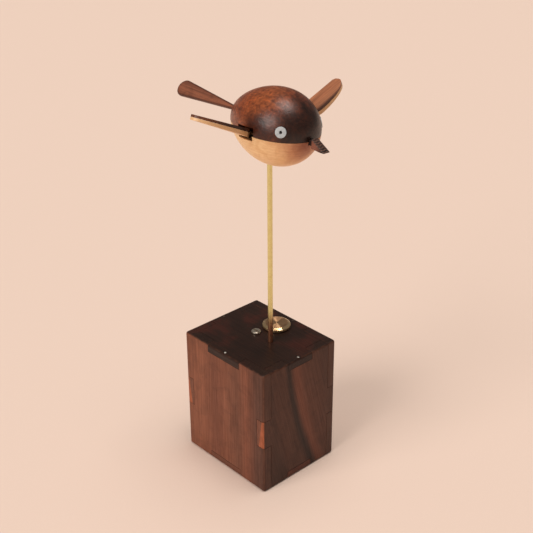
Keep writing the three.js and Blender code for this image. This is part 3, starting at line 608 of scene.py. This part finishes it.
def belly_wood(name, seed):
    """The bird's pale lower half, a little redder towards the beak."""
    shader = Wood(name, BIRD_FORWARD, BIRD_UP, BIRD_ORIGIN, seed)
    base = body_tones(shader, shader.fibres(0.06, 1.5, 3), 18, [
        (0.0, rgb(248, 210, 160)),
        (0.6, rgb(246, 206, 154)),
        (0.82, rgb(236, 188, 138)),
        (0.92, rgb(206, 146, 104)),
        (1.0, rgb(160, 98, 70)),
    ])
    blotch = shader.clouds(0.13, 4, 0.6, 1.2, 3)
    base = shader.tint(shader.spread(blotch, 0.45, 0.65, 0, 0.5), base, (0.82, 0.68, 0.56))
    base = shaded_inside(shader, base)
    colour = shader.dress(base, rings=0.22, ring_pitch=1.7, pores=0.18, streaks=0.16,
                          darker=PALE_GRAIN, roughness=(0.38, 0.5), relief=0.00003)
    return shader.done(colour, coat=0.08, coat_roughness=0.35, specular=0.35)


def wing_axes(side):
    """The middle of a wing's pin, the direction of its hinge and the direction out along its span."""
    pin = middle(f"wing_{side}_pin")
    ahead = Vector(joints[f"wing_{side}_flap"]["axis"]).normalized()
    if ahead.dot(BIRD_FORWARD) < 0:
        ahead = -ahead
    out = middle(f"wing_{side}_walnut") - pin
    out -= ahead * out.dot(ahead)
    return pin, ahead, out.normalized()


def wing_wood(name, side):
    """Red-brown lamination with its grain along the wing and darker edges, on the right wing deepened by painted
    shade.
    """
    pin, ahead, out = wing_axes(side)
    shader = Wood(name, out, ahead, pin, 41.0 if side == "left" else 47.0)
    base = shader.tones(shader.wobble(0.8, 0.12, 4), WING_WIDTH, [
        (0.00, rgb(112, 70, 50)),
        (0.16, rgb(184, 118, 82)),
        (0.5, rgb(176, 110, 76)),
        (0.82, rgb(186, 120, 84)),
        (1.0, rgb(104, 64, 46)),
    ])
    colour = shader.dress(base, rings=0.35, ring_pitch=1.5, pores=0.75, streaks=0.45,
                          roughness=(0.36, 0.5), relief=0.00005)
    # Darker edge faces: on the left wing the wood's darker edges; the right wing's much darker tint adds painted
    # shade on its edges.
    flatness = shader.size(shader.facing_along(out.cross(ahead)))
    edge_tint_and_shade = (0.66, 0.5, 0.42) if side == "left" else (0.34, 0.29, 0.27)
    colour = shader.tint(shader.spread(flatness, 0.9, 0.4), colour, edge_tint_and_shade)
    return shader.done(colour, coat=0.08, coat_roughness=0.35, specular=0.35)


def wing_maple(name, side):
    """The pale lamination under a wing."""
    pin, ahead, out = wing_axes(side)
    shader = Wood(name, out, ahead, pin, 53.0 if side == "left" else 59.0)
    base = shader.tones(shader.wobble(0.8, 0.12, 4), WING_WIDTH, [
        (0.0, rgb(226, 178, 128)),
        (0.5, rgb(236, 192, 142)),
        (1.0, rgb(220, 170, 120)),
    ])
    colour = shader.dress(base, rings=0.2, ring_pitch=1.3, pores=0.15, streaks=0.2,
                          darker=PALE_GRAIN, roughness=(0.4, 0.52), relief=0.00003)
    return shader.done(colour, coat=0.15, coat_roughness=0.35)


def tail_rim(shader):
    """1 along the outline of the tail's paddle, 0 on the rest of its faces."""
    start = BIRD @ Vector((TAIL_START, 0, TAIL_Z))
    end_centre = BIRD @ Vector((TAIL_START - TAIL_END_CENTRE, 0, TAIL_Z))
    breadth = BIRD_LEFT * math.cos(TAIL_TWIST) - BIRD_UP * math.sin(TAIL_TWIST)
    along = shader.along(-BIRD_FORWARD, start)
    widening = (TAIL_END_RADIUS - TAIL_ROOT_RADIUS) / TAIL_END_CENTRE
    half_width = shader.times_plus(along, widening, TAIL_ROOT_RADIUS)
    off_centre = shader.size(shader.along(breadth, start))
    sides = shader.spread(shader.minus(off_centre, half_width), -1.3, -0.6)
    sides = shader.times(sides, shader.spread(along, TAIL_END_CENTRE + 1, TAIL_END_CENTRE))
    end = shader.spread(shader.reach(end_centre), TAIL_END_RADIUS - 1.2, TAIL_END_RADIUS - 0.5)
    end = shader.times(end, shader.spread(along, TAIL_END_CENTRE, TAIL_END_CENTRE + 1))
    return shader.math("MAXIMUM", sides, end)


def tail_wood(name):
    """Brown, with darker clouds and a dark rim."""
    shader = Wood(name, BIRD_FORWARD, BIRD_LEFT, BIRD_ORIGIN, 67.0)
    base = shader.tones(shader.wobble(0.8, 0.1, 5), 12, [
        (0.0, rgb(112, 66, 48)),
        (0.4, rgb(140, 84, 60)),
        (0.6, rgb(128, 76, 55)),
        (1.0, rgb(110, 64, 48)),
    ])
    blotch = shader.clouds(0.16, 4, 0.6, 1.0, 2)
    base = shader.tint(shader.spread(blotch, 0.47, 0.62, 0, 0.5), base, (0.58, 0.56, 0.56))
    colour = shader.dress(base, rings=0.35, ring_pitch=1.6, pores=0.75, streaks=0.45,
                          roughness=(0.34, 0.48), relief=0.00005)
    colour = shader.tint(shader.times(tail_rim(shader), 0.8), colour, (0.4, 0.34, 0.32))
    return shader.done(colour, coat=0.08, coat_roughness=0.3, specular=0.35)


def beak_wood(name):
    """Brown, darkening to a nearly black tip, with cross bands on its sloping top."""
    shader = Wood(name, BIRD_FORWARD, BIRD_LEFT, BIRD_ORIGIN, 71.0)
    base = shader.mix(shader.spread(shader.w, 34, 40.5), rgb(132, 80, 62), rgb(44, 28, 24))
    # Painted shade: the tenon in the gap between the body and the beak is darkened as if in shadow.
    painted_tenon_shade = shader.spread(shader.w, BEAK_BASE + 0.4, BEAK_BASE - 0.2)
    base = shader.mix(painted_tenon_shade, base, rgb(40, 24, 20))
    slope = (BEAK_TOP_AT_BASE - BEAK_TOP_AT_TIP) / (BEAK_TIP - BEAK_BASE)
    crest = BEAK_TOP_AT_BASE + slope * BEAK_BASE
    height = shader.times_plus(shader.w, slope, shader.along(BIRD_UP, BIRD_ORIGIN))
    top = shader.spread(height, crest - 0.67, crest - 0.07)
    base = shader.mix(shader.times(top, 0.85), base, rgb(36, 22, 19))
    band_pitch = 1.5
    bend = shader.math("SINE", shader.times(shader.wobble(0.3, 0.4, 1), 2.0))
    bands = shader.math("SINE", shader.times_plus(shader.w, 2 * math.pi / band_pitch, bend))
    band_share = shader.times(shader.spread(bands, 0.1, 0.8), top)
    base = shader.mix(shader.times(band_share, 0.9), base, rgb(118, 84, 68))
    colour = shader.dress(base, rings=0.15, ring_pitch=1.4, pores=0.4, streaks=0.3,
                          roughness=(0.36, 0.5), relief=0.00004)
    return shader.done(colour, coat=0.08, coat_roughness=0.3, specular=0.35)


# ---- metals and paint ----
def plain_metal(name, tone, shade, roughness, seed, centre=(0, 0, 0), turned_lines=0.0, anisotropic=0.0,
                metallic=1.0, foot=None, rim=None):
    """Metal with fine scratches, faint tarnish and, where it was turned, circular tool lines.

    foot is a painted reflection of the lid, tinted into the metal near the lid; rim is the radius in mm outside
    which the metal is polished.
    """
    shader = Shader(name)
    tarnish = shader.noise(shader.place, 260, 4, 0.6, 0.4, seed)
    colour = shader.mix(shader.spread(tarnish, 0.42, 0.68, 0, 0.6), tone, shade)
    # Painted reflection: the lid's red-brown, tinted into the metal near its foot.
    if foot:
        height = shader.along(Z_AXIS, (0, 0, lid_top))
        colour = shader.mix(shader.spread(height, 24.0, 9.0, 0, 0.9), colour, foot)
    scratch = shader.noise(shader.scaled(shader.place, (1, 1, 0.06)), 5200, 2, 0.6, 0, seed + 2)
    layers = [(scratch, 0.000004)]
    rough = shader.spread(scratch, 0.3, 0.7, roughness * 0.75, roughness * 1.3)
    if turned_lines:
        radius = shader.length(shader.along(X_AXIS, centre), shader.along(Y_AXIS, centre))
        line = shader.noise(shader.combine(radius, 0.0, 0.0), 6.0, 3, 0.7, 0, seed + 4)
        layers.append((line, turned_lines))
        rough = shader.times_plus(shader.minus(line, 0.5), 0.12, rough)
        colour = shader.mix(shader.spread(line, 0.55, 0.8, 0, 0.25), colour, shade)
        if rim:
            polished = shader.spread(radius, rim - 0.3, rim + 0.3)
            rough = shader.times(rough, shader.times_plus(polished, -0.3, 1.0))
            colour = shader.mix(polished, colour, rgb(240, 206, 158))
    if anisotropic:
        tangent = shader.tree.nodes.new("ShaderNodeTangent")
        tangent.direction_type = "RADIAL"
        tangent.axis = "Z"
        shader.link(tangent.outputs["Tangent"], shader.surface.inputs["Tangent"])
        shader.surface.inputs["Anisotropic Rotation"].default_value = 0.25
    shader.colour(colour)
    shader.bump(*layers)
    shader.finish(rough, metallic=metallic, anisotropic=anisotropic)
    return shader.material


def eye_paint(name, tone, shade, roughness, coat):
    """Lacquer with faint clouds."""
    shader = Shader(name)
    cloud = shader.noise(shader.place, 700, 4, 0.6, 0.3, 83.0)
    shader.colour(shader.mix(shader.spread(cloud, 0.35, 0.7), tone, shade))
    shader.bump((cloud, 0.000015))
    rough = shader.spread(cloud, 0.3, 0.7, roughness * 0.8, roughness * 1.3)
    shader.finish(rough, coat=coat, coat_roughness=0.15)
    return shader.material


# ---- meshes ----
def new_object(name, mesh):
    """An object at the origin for a mesh."""
    piece = bpy.data.objects.new(name, mesh)
    bpy.context.scene.collection.objects.link(piece)
    return piece


def smooth(mesh, sharp_degrees=38):
    """Smooth shading, except across edges sharper than that."""
    mesh.polygons.foreach_set("use_smooth", [True] * len(mesh.polygons))
    mesh.set_sharp_from_angle(angle=math.radians(sharp_degrees))
    mesh.update()


def apply_modifiers(piece):
    """Replaces the piece's mesh by what its modifiers make of it."""
    bpy.context.view_layer.update()
    evaluated = piece.evaluated_get(bpy.context.evaluated_depsgraph_get())
    mesh = bpy.data.meshes.new_from_object(evaluated)
    piece.modifiers.clear()
    piece.data = mesh
    return piece


def place_piece(piece, body, material, slot, *stands_for):
    """Gives a piece its material and its body, and hides the CAD nodes that it stands for; slot is not used."""
    piece.data.materials.clear()
    piece.data.materials.append(material)
    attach(piece, body)
    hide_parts(*stands_for)
    return piece


def eased(node, width_mm, segments=3, sharp_degrees=30):
    """A copy of a CAD node's shape with its edges rounded."""
    bm = bmesh.new()
    bm.from_mesh(nodes[node].data)
    bmesh.ops.remove_doubles(bm, verts=bm.verts, dist=0.002 * MM)
    bmesh.ops.dissolve_limit(
        bm, angle_limit=math.radians(0.5), verts=bm.verts, edges=bm.edges, use_dissolve_boundaries=False)
    mesh = bpy.data.meshes.new(node + "_eased")
    bm.to_mesh(mesh)
    bm.free()
    piece = new_object(node + "_eased", mesh)
    bevel = piece.modifiers.new("ease", "BEVEL")
    bevel.width = width_mm * MM
    bevel.segments = segments
    bevel.limit_method = "ANGLE"
    bevel.angle_limit = math.radians(sharp_degrees)
    apply_modifiers(piece)
    smooth(piece.data, 50)
    weight = piece.modifiers.new("weight", "WEIGHTED_NORMAL")
    weight.keep_sharp = True
    return apply_modifiers(piece)


def filleted(profile, radius, steps=4):
    """An open outline with each inner corner rounded by an arc of that radius."""
    points = [Vector(point) for point in profile]
    rounded = [points[0]]
    for before, corner, after in zip(points, points[1:], points[2:]):
        back = before - corner
        ahead = after - corner
        angle = back.angle(ahead)
        reach = min(radius / math.tan(angle / 2), back.length * 0.45, ahead.length * 0.45)
        start = corner + back.normalized() * reach
        end = corner + ahead.normalized() * reach
        for step in range(steps + 1):
            share = step / steps
            first = start.lerp(corner, share)
            second = corner.lerp(end, share)
            rounded.append(first.lerp(second, share))
    rounded.append(points[-1])
    return rounded


def turned_mesh(name, profile, sides):
    """A closed solid of revolution about z; the profile runs from axis to axis, or round a ring."""
    bm = bmesh.new()
    closed = profile[0][0] > 0
    rows = []
    for radius, height in profile:
        if radius < 1e-9:
            rows.append([bm.verts.new((0, 0, height))])
        else:
            rows.append([
                bm.verts.new((radius * math.cos(turn), radius * math.sin(turn), height))
                for turn in (2 * math.pi * side / sides for side in range(sides))
            ])
    pairs = list(zip(rows, rows[1:]))
    if closed:
        pairs.append((rows[-1], rows[0]))
    for lower, upper in pairs:
        for side in range(sides):
            following = (side + 1) % sides
            if len(lower) == 1:
                bm.faces.new((lower[0], upper[following], upper[side]))
            elif len(upper) == 1:
                bm.faces.new((lower[side], lower[following], upper[0]))
            else:
                bm.faces.new((lower[side], lower[following], upper[following], upper[side]))
    bmesh.ops.recalc_face_normals(bm, faces=bm.faces)
    mesh = bpy.data.meshes.new(name)
    bm.to_mesh(mesh)
    bm.free()
    smooth(mesh)
    return mesh


def upright(node):
    """The middle of an upright round node's foot, and its radius and height in mm."""
    low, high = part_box(node)
    foot = Vector(((low.x + high.x) / 2, (low.y + high.y) / 2, low.z))
    return foot, (high.x - low.x) / 2 / MM, (high.z - low.z) / MM


def turned_piece(node, profile, foot, sides):
    """A turned piece for a node, its mesh moved to its place so that its object stays at the origin."""
    mesh = turned_mesh(node + "_turned", profile, sides)
    mesh.transform(Matrix.Translation(foot) @ Matrix.Scale(MM, 4))
    return new_object(node + "_turned", mesh)


def block_mesh(low, high, rounding=0.0):
    """A box between two corners, with all its edges rounded."""
    bm = bmesh.new()
    bmesh.ops.create_cube(bm, size=1)
    size = Vector(high) - Vector(low)
    centre = (Vector(high) + Vector(low)) / 2
    bmesh.ops.transform(bm, verts=bm.verts, matrix=Matrix.Translation(centre) @ Matrix.Diagonal((*size, 1)))
    if rounding:
        bmesh.ops.bevel(bm, geom=bm.edges[:], offset=rounding, segments=3, profile=0.5, affect="EDGES")
    mesh = bpy.data.meshes.new("block")
    bm.to_mesh(mesh)
    bm.free()
    return mesh


def carve(piece, *cutters):
    """Cuts the cutters' meshes out of the piece."""
    bm = bmesh.new()
    for mesh in cutters:
        bm.from_mesh(mesh)
    joined = bpy.data.meshes.new("cutters")
    bm.to_mesh(joined)
    bm.free()
    tool = new_object("cutters", joined)
    modifier = piece.modifiers.new("carve", "BOOLEAN")
    modifier.operation = "DIFFERENCE"
    modifier.solver = "EXACT"
    modifier.use_self = True
    modifier.object = tool
    apply_modifiers(piece)
    bpy.data.objects.remove(tool)
    return piece


# ---- the box ----
def make_box():
    boards = {
        "box_wall_left": ("walnut_box", side_wall_wood("walnut_wall_left", 1.0)),
        "box_wall_right": ("walnut_box", side_wall_wood("walnut_wall_right", 2.0)),
        "box_wall_front": ("walnut_box", end_wall_wood("walnut_wall_front", 3.0)),
        "box_wall_back": ("walnut_box", end_wall_wood("walnut_wall_back", 4.0)),
        "box_lid": ("walnut_lid", lid_wood("walnut_lid_board", 5.0)),
        "box_floor": ("walnut_box", floor_board_wood("walnut_floor_board", 6.0)),
    }
    for node, (slot, material) in boards.items():
        place_piece(eased(node, 0.15, 2, 50), "case", material, slot, node)


def make_lid_pins():
    """Pins 1 and 3, at the lid's left and front edges, are bright steel; the other two get a darker copy of it,
    painted shade.
    """
    bright = plain_metal("pin_steel", rgb(226, 218, 208), rgb(170, 162, 154), 0.42, 12.0)
    # Painted shade: a darker copy of the steel for the two pins that show no glint.
    painted_shade_steel = plain_metal("pin_steel_painted_shade", rgb(104, 92, 84), rgb(70, 60, 54), 0.5, 13.0)
    crown = 0.25
    for number, finish in ((1, bright), (2, painted_shade_steel), (3, bright), (4, painted_shade_steel)):
        node = f"lid_pin_{number}"
        foot, radius, length = upright(node)
        profile = [(0, 0), (radius, 0), (radius, length - crown), (radius * 0.6, length), (0, length)]
        piece = turned_piece(node, filleted(profile, 0.2), foot, sides=32)
        place_piece(piece, "case", finish, "steel", node)


def make_knob():
    """A low disc with a polished bevel, and a blind hole under it for the winding arbor."""
    foot, radius, thick = upright("winding_knob")
    bevel_reach = 1.7
    bevel_drop = 0.9
    foot_bevel = 0.35
    socket = 1.6
    socket_depth = thick - 1.1
    dish = 0.04
    profile = [
        (0, socket_depth),
        (socket, socket_depth),
        (socket, 0),
        (radius - foot_bevel, 0),
        (radius, foot_bevel),
        (radius, thick - bevel_drop),
        (radius - bevel_reach, thick),
        (radius * 0.5, thick - dish / 2),
        (0, thick - dish),
    ]
    piece = turned_piece("winding_knob", filleted(profile, 0.12, 3), foot, sides=128)
    turned_brass = plain_metal("knob_brass", rgb(232, 184, 138), rgb(178, 130, 104), 0.36, 21.0, centre=foot,
                               turned_lines=0.0000025, anisotropic=0.96, metallic=0.95,
                               rim=radius - bevel_reach)
    place_piece(piece, "winder", turned_brass, "brass", "winding_knob")


def make_rod():
    foot, radius, length = upright("figure_rod")
    profile = [(0, 0), (radius, 0), (radius, length), (0, length)]
    piece = turned_piece("figure_rod", filleted(profile, 0.3), foot, sides=64)
    # The rod's foot colour is a painted reflection of the lid and knob.
    drawn_brass = plain_metal("rod_brass", rgb(230, 217, 152), rgb(218, 200, 134), 0.3, 25.0,
                              metallic=0.85, foot=rgb(178, 108, 84))
    place_piece(piece, "figure", drawn_brass, "brass", "figure_rod")


def make_screw():
    """A cheese-head screw with a straight slot."""
    foot, head, top = upright("lid_screw")
    shank = 1.45
    washer_gap = 0.15
    head_bevel = (0.45, 0.35)
    under = (lid_top - foot.z) / MM + washer_gap
    profile = [
        (0, 0),
        (shank, 0),
        (shank, under),
        (head, under),
        (head, top - head_bevel[1]),
        (head - head_bevel[0], top),
        (0, top),
    ]
    piece = turned_piece("lid_screw", filleted(profile, 0.12, 3), foot, sides=64)
    slot_half = 0.45
    slot_depth = 0.8
    reach = head * 1.3
    slot = block_mesh((-slot_half, -reach, top - slot_depth), (slot_half, reach, top + 2))
    slot.transform(Matrix.Translation(foot) @ Matrix.Scale(MM, 4))
    carve(piece, slot)
    smooth(piece.data)
    screw_steel = plain_metal("screw_steel", rgb(222, 208, 190), rgb(160, 146, 132), 0.36, 29.0,
                              centre=foot, turned_lines=0.000004)
    place_piece(piece, "case", screw_steel, "steel", "lid_screw")


# ---- the bird ----
def body_profile(theta):
    """Place along the body and radius there."""
    forward = math.cos(theta)
    full = 1 + BODY_FULLNESS * forward + BODY_BLUNTNESS * forward ** 2
    return BODY_HALF_LENGTH * forward, BODY_RADIUS * math.sin(theta) * full


def eye_frame(side):
    """The matrix that puts an eye's axis square to the body's surface; side is 1 on the left."""
    along, radius = body_profile(EYE_FORWARD)
    next_along, next_radius = body_profile(EYE_FORWARD + 0.01)
    place = Vector((along, side * radius * math.cos(EYE_UP), radius * math.sin(EYE_UP)))
    slope = along - next_along
    outward = Vector((next_radius - radius, side * slope * math.cos(EYE_UP), slope * math.sin(EYE_UP)))
    turn = outward.normalized().to_track_quat("Z", "Y").to_matrix().to_4x4()
    return Matrix.Translation(place) @ turn


def plug(name, radius, start, end, sides):
    """A round bar along its own z axis."""
    return turned_mesh(name, [(0, start), (radius, start), (radius, end), (0, end)], sides)


def lying_rod(radius, start, end, height=0):
    """A round bar along the bird's x axis, in its frame."""
    mesh = plug("bar", radius, start, end, 32)
    mesh.transform(Matrix.Translation((0, 0, height)) @ Matrix.Rotation(math.pi / 2, 4, "Y"))
    return mesh


def hinge_place(side):
    """The matrix from a wing hinge's pitched frame to the bird's."""
    place = Matrix.Translation((0, side * WING_PIN_SIDE, SEAM_Z))
    return place @ Matrix.Rotation(-WING_PITCH, 4, "Y")


def wing_bar(side, slack=0.0):
    """A wing's pin in the bird's frame, or its hole when given some slack."""
    bar = lying_rod(WING_PIN_RADIUS + slack, WING_PIN_BACK - slack, WING_PIN_FRONT + slack)
    bar.transform(hinge_place(side))
    return bar


def wing_slot(side, front):
    """The room that a wing's root swings in, cut out of the body."""
    inner = side * (SLOT_INNER_SIDE - WING_PIN_SIDE)
    outer = side * SLOT_OUTER_REACH
    low = (SLOT_BACK, min(inner, outer), SLOT_FLOOR)
    high = (front, max(inner, outer), SLOT_TOP)
    slot = block_mesh(low, high, 0.4)
    slot.transform(hinge_place(side))
    return slot


def eye_socket(side):
    """The round hole that an eye's ring is set in."""
    socket = plug("socket", EYE_RADIUS + FIT_GAP, -EYE_DEPTH - FIT_GAP, 3, 64)
    socket.transform(eye_frame(side))
    return socket


def rod_hole():
    """The upright hole for the rod, seen from the bird's tilted frame."""
    rod_centre = middle("figure_rod")
    rod_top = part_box("figure_rod")[1].z
    hole = plug("hole", ROD_HOLE_RADIUS, -60, 0.3, 48)
    place = Matrix.Translation((rod_centre.x, rod_centre.y, rod_top)) @ Matrix.Scale(MM, 4)
    hole.transform(BIRD.inverted() @ place)
    return hole


def body_hollows(slot_front):
    """The wing slots, pin holes, eye sockets, tail hole, beak notch and rod hole, in the bird's frame."""
    hollows = []
    for side in (1, -1):
        hollows += [wing_slot(side, slot_front), wing_bar(side, FIT_GAP), eye_socket(side)]
    tail_end = -BODY_HALF_LENGTH
    hollows.append(lying_rod(TAIL_HOLE_RADIUS, tail_end - 5, tail_end + TAIL_HOLE_DEPTH, TAIL_Z))
    hollows.append(block_mesh(*BEAK_NOTCH, 0.3))
    hollows.append(rod_hole())
    return hollows


def body_half(name, way):
    """The body's shell above the seam (way 1) or below it (way -1), with the seam's edge eased."""
    rows = 88
    profile = [body_profile(math.pi * row / rows) for row in range(rows + 1)]
    outline = [(radius if 0 < row < rows else 0, along) for row, (along, radius) in enumerate(profile)]
    mesh = turned_mesh(name, outline, 128)
    mesh.transform(Matrix.Rotation(math.pi / 2, 4, "Y"))
    bm = bmesh.new()
    bm.from_mesh(mesh)
    cut = SEAM_Z + way * (SEAM_GAP / 2 + SEAM_EASE)
    whole = bm.verts[:] + bm.edges[:] + bm.faces[:]
    bmesh.ops.bisect_plane(bm, geom=whole, plane_co=(0, 0, cut), plane_no=(0, 0, -way), clear_outer=True)
    rim = [edge for edge in bm.edges if edge.is_boundary]
    grown = bmesh.ops.extrude_edge_only(bm, edges=rim)["geom"]
    for vertex in (item for item in grown if isinstance(item, bmesh.types.BMVert)):
        flat = Vector((vertex.co.x, vertex.co.y))
        flat = flat * (1 - SEAM_EASE / flat.length)
        vertex.co = (flat.x, flat.y, cut - way * SEAM_EASE)
    edges = [item for item in grown if isinstance(item, bmesh.types.BMEdge) and item.is_boundary]
    bmesh.ops.edgeloop_fill(bm, edges=edges)
    bmesh.ops.recalc_face_normals(bm, faces=bm.faces)
    bm.to_mesh(mesh)
    bm.free()
    piece = new_object(name, mesh)
    carve(piece, *body_hollows(SLOT_FRONT[way]))
    piece.data.transform(BIRD)
    smooth(piece.data, 30)
    return piece


def make_body():
    upper = body_half("bird_body_upper_turned", 1)
    place_piece(upper, "figure", back_wood("bird_back_wood", 33.0), "rosewood", "bird_body_upper")
    lower = body_half("bird_body_lower_turned", -1)
    place_piece(lower, "figure", belly_wood("bird_belly_wood", 37.0), "maple", "bird_body_lower")


def make_wings():
    pin_steel = plain_metal("wing_pin_steel", rgb(196, 194, 190), rgb(130, 126, 122), 0.25, 31.0)
    for sign, side in ((1, "left"), (-1, "right")):
        body = f"wing_{side}"
        dark = f"wing_{side}_walnut"
        pale = f"wing_{side}_maple"
        place_piece(eased(dark, 0.35), body, wing_wood(f"wing_{side}_top_wood", side), "rosewood", dark)
        place_piece(eased(pale, 0.35), body, wing_maple(f"wing_{side}_pale_wood", side), "maple", pale)
        bar = wing_bar(sign)
        bar.transform(BIRD)
        pin = new_object(f"wing_{side}_pin_turned", bar)
        place_piece(pin, "figure", pin_steel, "steel", f"wing_{side}_pin")


def make_tail_and_beak():
    place_piece(eased("tail", 0.3, 3, 25), "figure", tail_wood("tail_wood"), "rosewood", "tail")
    place_piece(eased("beak", 0.35, 3, 12), "figure", beak_wood("beak_wood"), "rosewood", "beak")


def eye_ring():
    """A flat ring, a little higher at its hole; its first and last corners are the same one."""
    inner = PUPIL_RADIUS + 0.08
    loop_start = (inner, -0.3)
    profile = [
        loop_start,
        (inner, -EYE_DEPTH),
        (EYE_RADIUS, -EYE_DEPTH),
        (EYE_RADIUS, 0.12),
        (inner, 0.2),
        loop_start,
    ]
    return turned_mesh("ring", filleted(profile, 0.1)[1:-1], 64)


def eye_pupil():
    base = -EYE_DEPTH + 0.1
    profile = [(0, base), (PUPIL_RADIUS, base), (PUPIL_RADIUS, 0.18), (0, 0.3)]
    return turned_mesh("pupil", filleted(profile, 0.15), 48)


def make_eyes():
    white = eye_paint("eye_ring_paint", rgb(196, 200, 202), rgb(172, 178, 182), 0.3, 0.3)
    black = eye_paint("eye_pupil_paint", rgb(14, 12, 12), rgb(26, 24, 24), 0.2, 0.6)
    for side, name in ((1, "left"), (-1, "right")):
        for word, mesh, paint, slot in (
            ("ring", eye_ring(), white, "eye_white"),
            ("pupil", eye_pupil(), black, "eye_black"),
        ):
            mesh.transform(BIRD @ eye_frame(side))
            piece = new_object(f"eye_{word}_{name}_turned", mesh)
            place_piece(piece, "figure", paint, slot, f"eye_{word}_{name}")


# ---- the movement keeps its CAD shapes and gets finished materials ----
def finish_movement():
    finishes = {
        "brass": plain_metal("movement_brass", rgb(206, 168, 98), rgb(160, 122, 66), 0.3, 61.0,
                             turned_lines=0.000003),
        "steel": plain_metal("movement_steel", rgb(170, 168, 166), rgb(104, 102, 100), 0.32, 62.0),
        "spring_steel": plain_metal("blued_steel", rgb(92, 98, 112), rgb(60, 58, 60), 0.3, 63.0),
        "maple": belly_wood("dowel_wood", 64.0),
    }
    for part in frame["record"]["subparts"]:
        node = nodes[part["node"]]
        if node.hide_render or part["material_slot"] not in finishes:
            continue
        node.data.materials.clear()
        node.data.materials.append(finishes[part["material_slot"]])


make_camera()
make_stage()
make_box()
make_lid_pins()
make_knob()
make_rod()
make_screw()
make_body()
make_wings()
make_tail_and_beak()
make_eyes()
finish_movement()
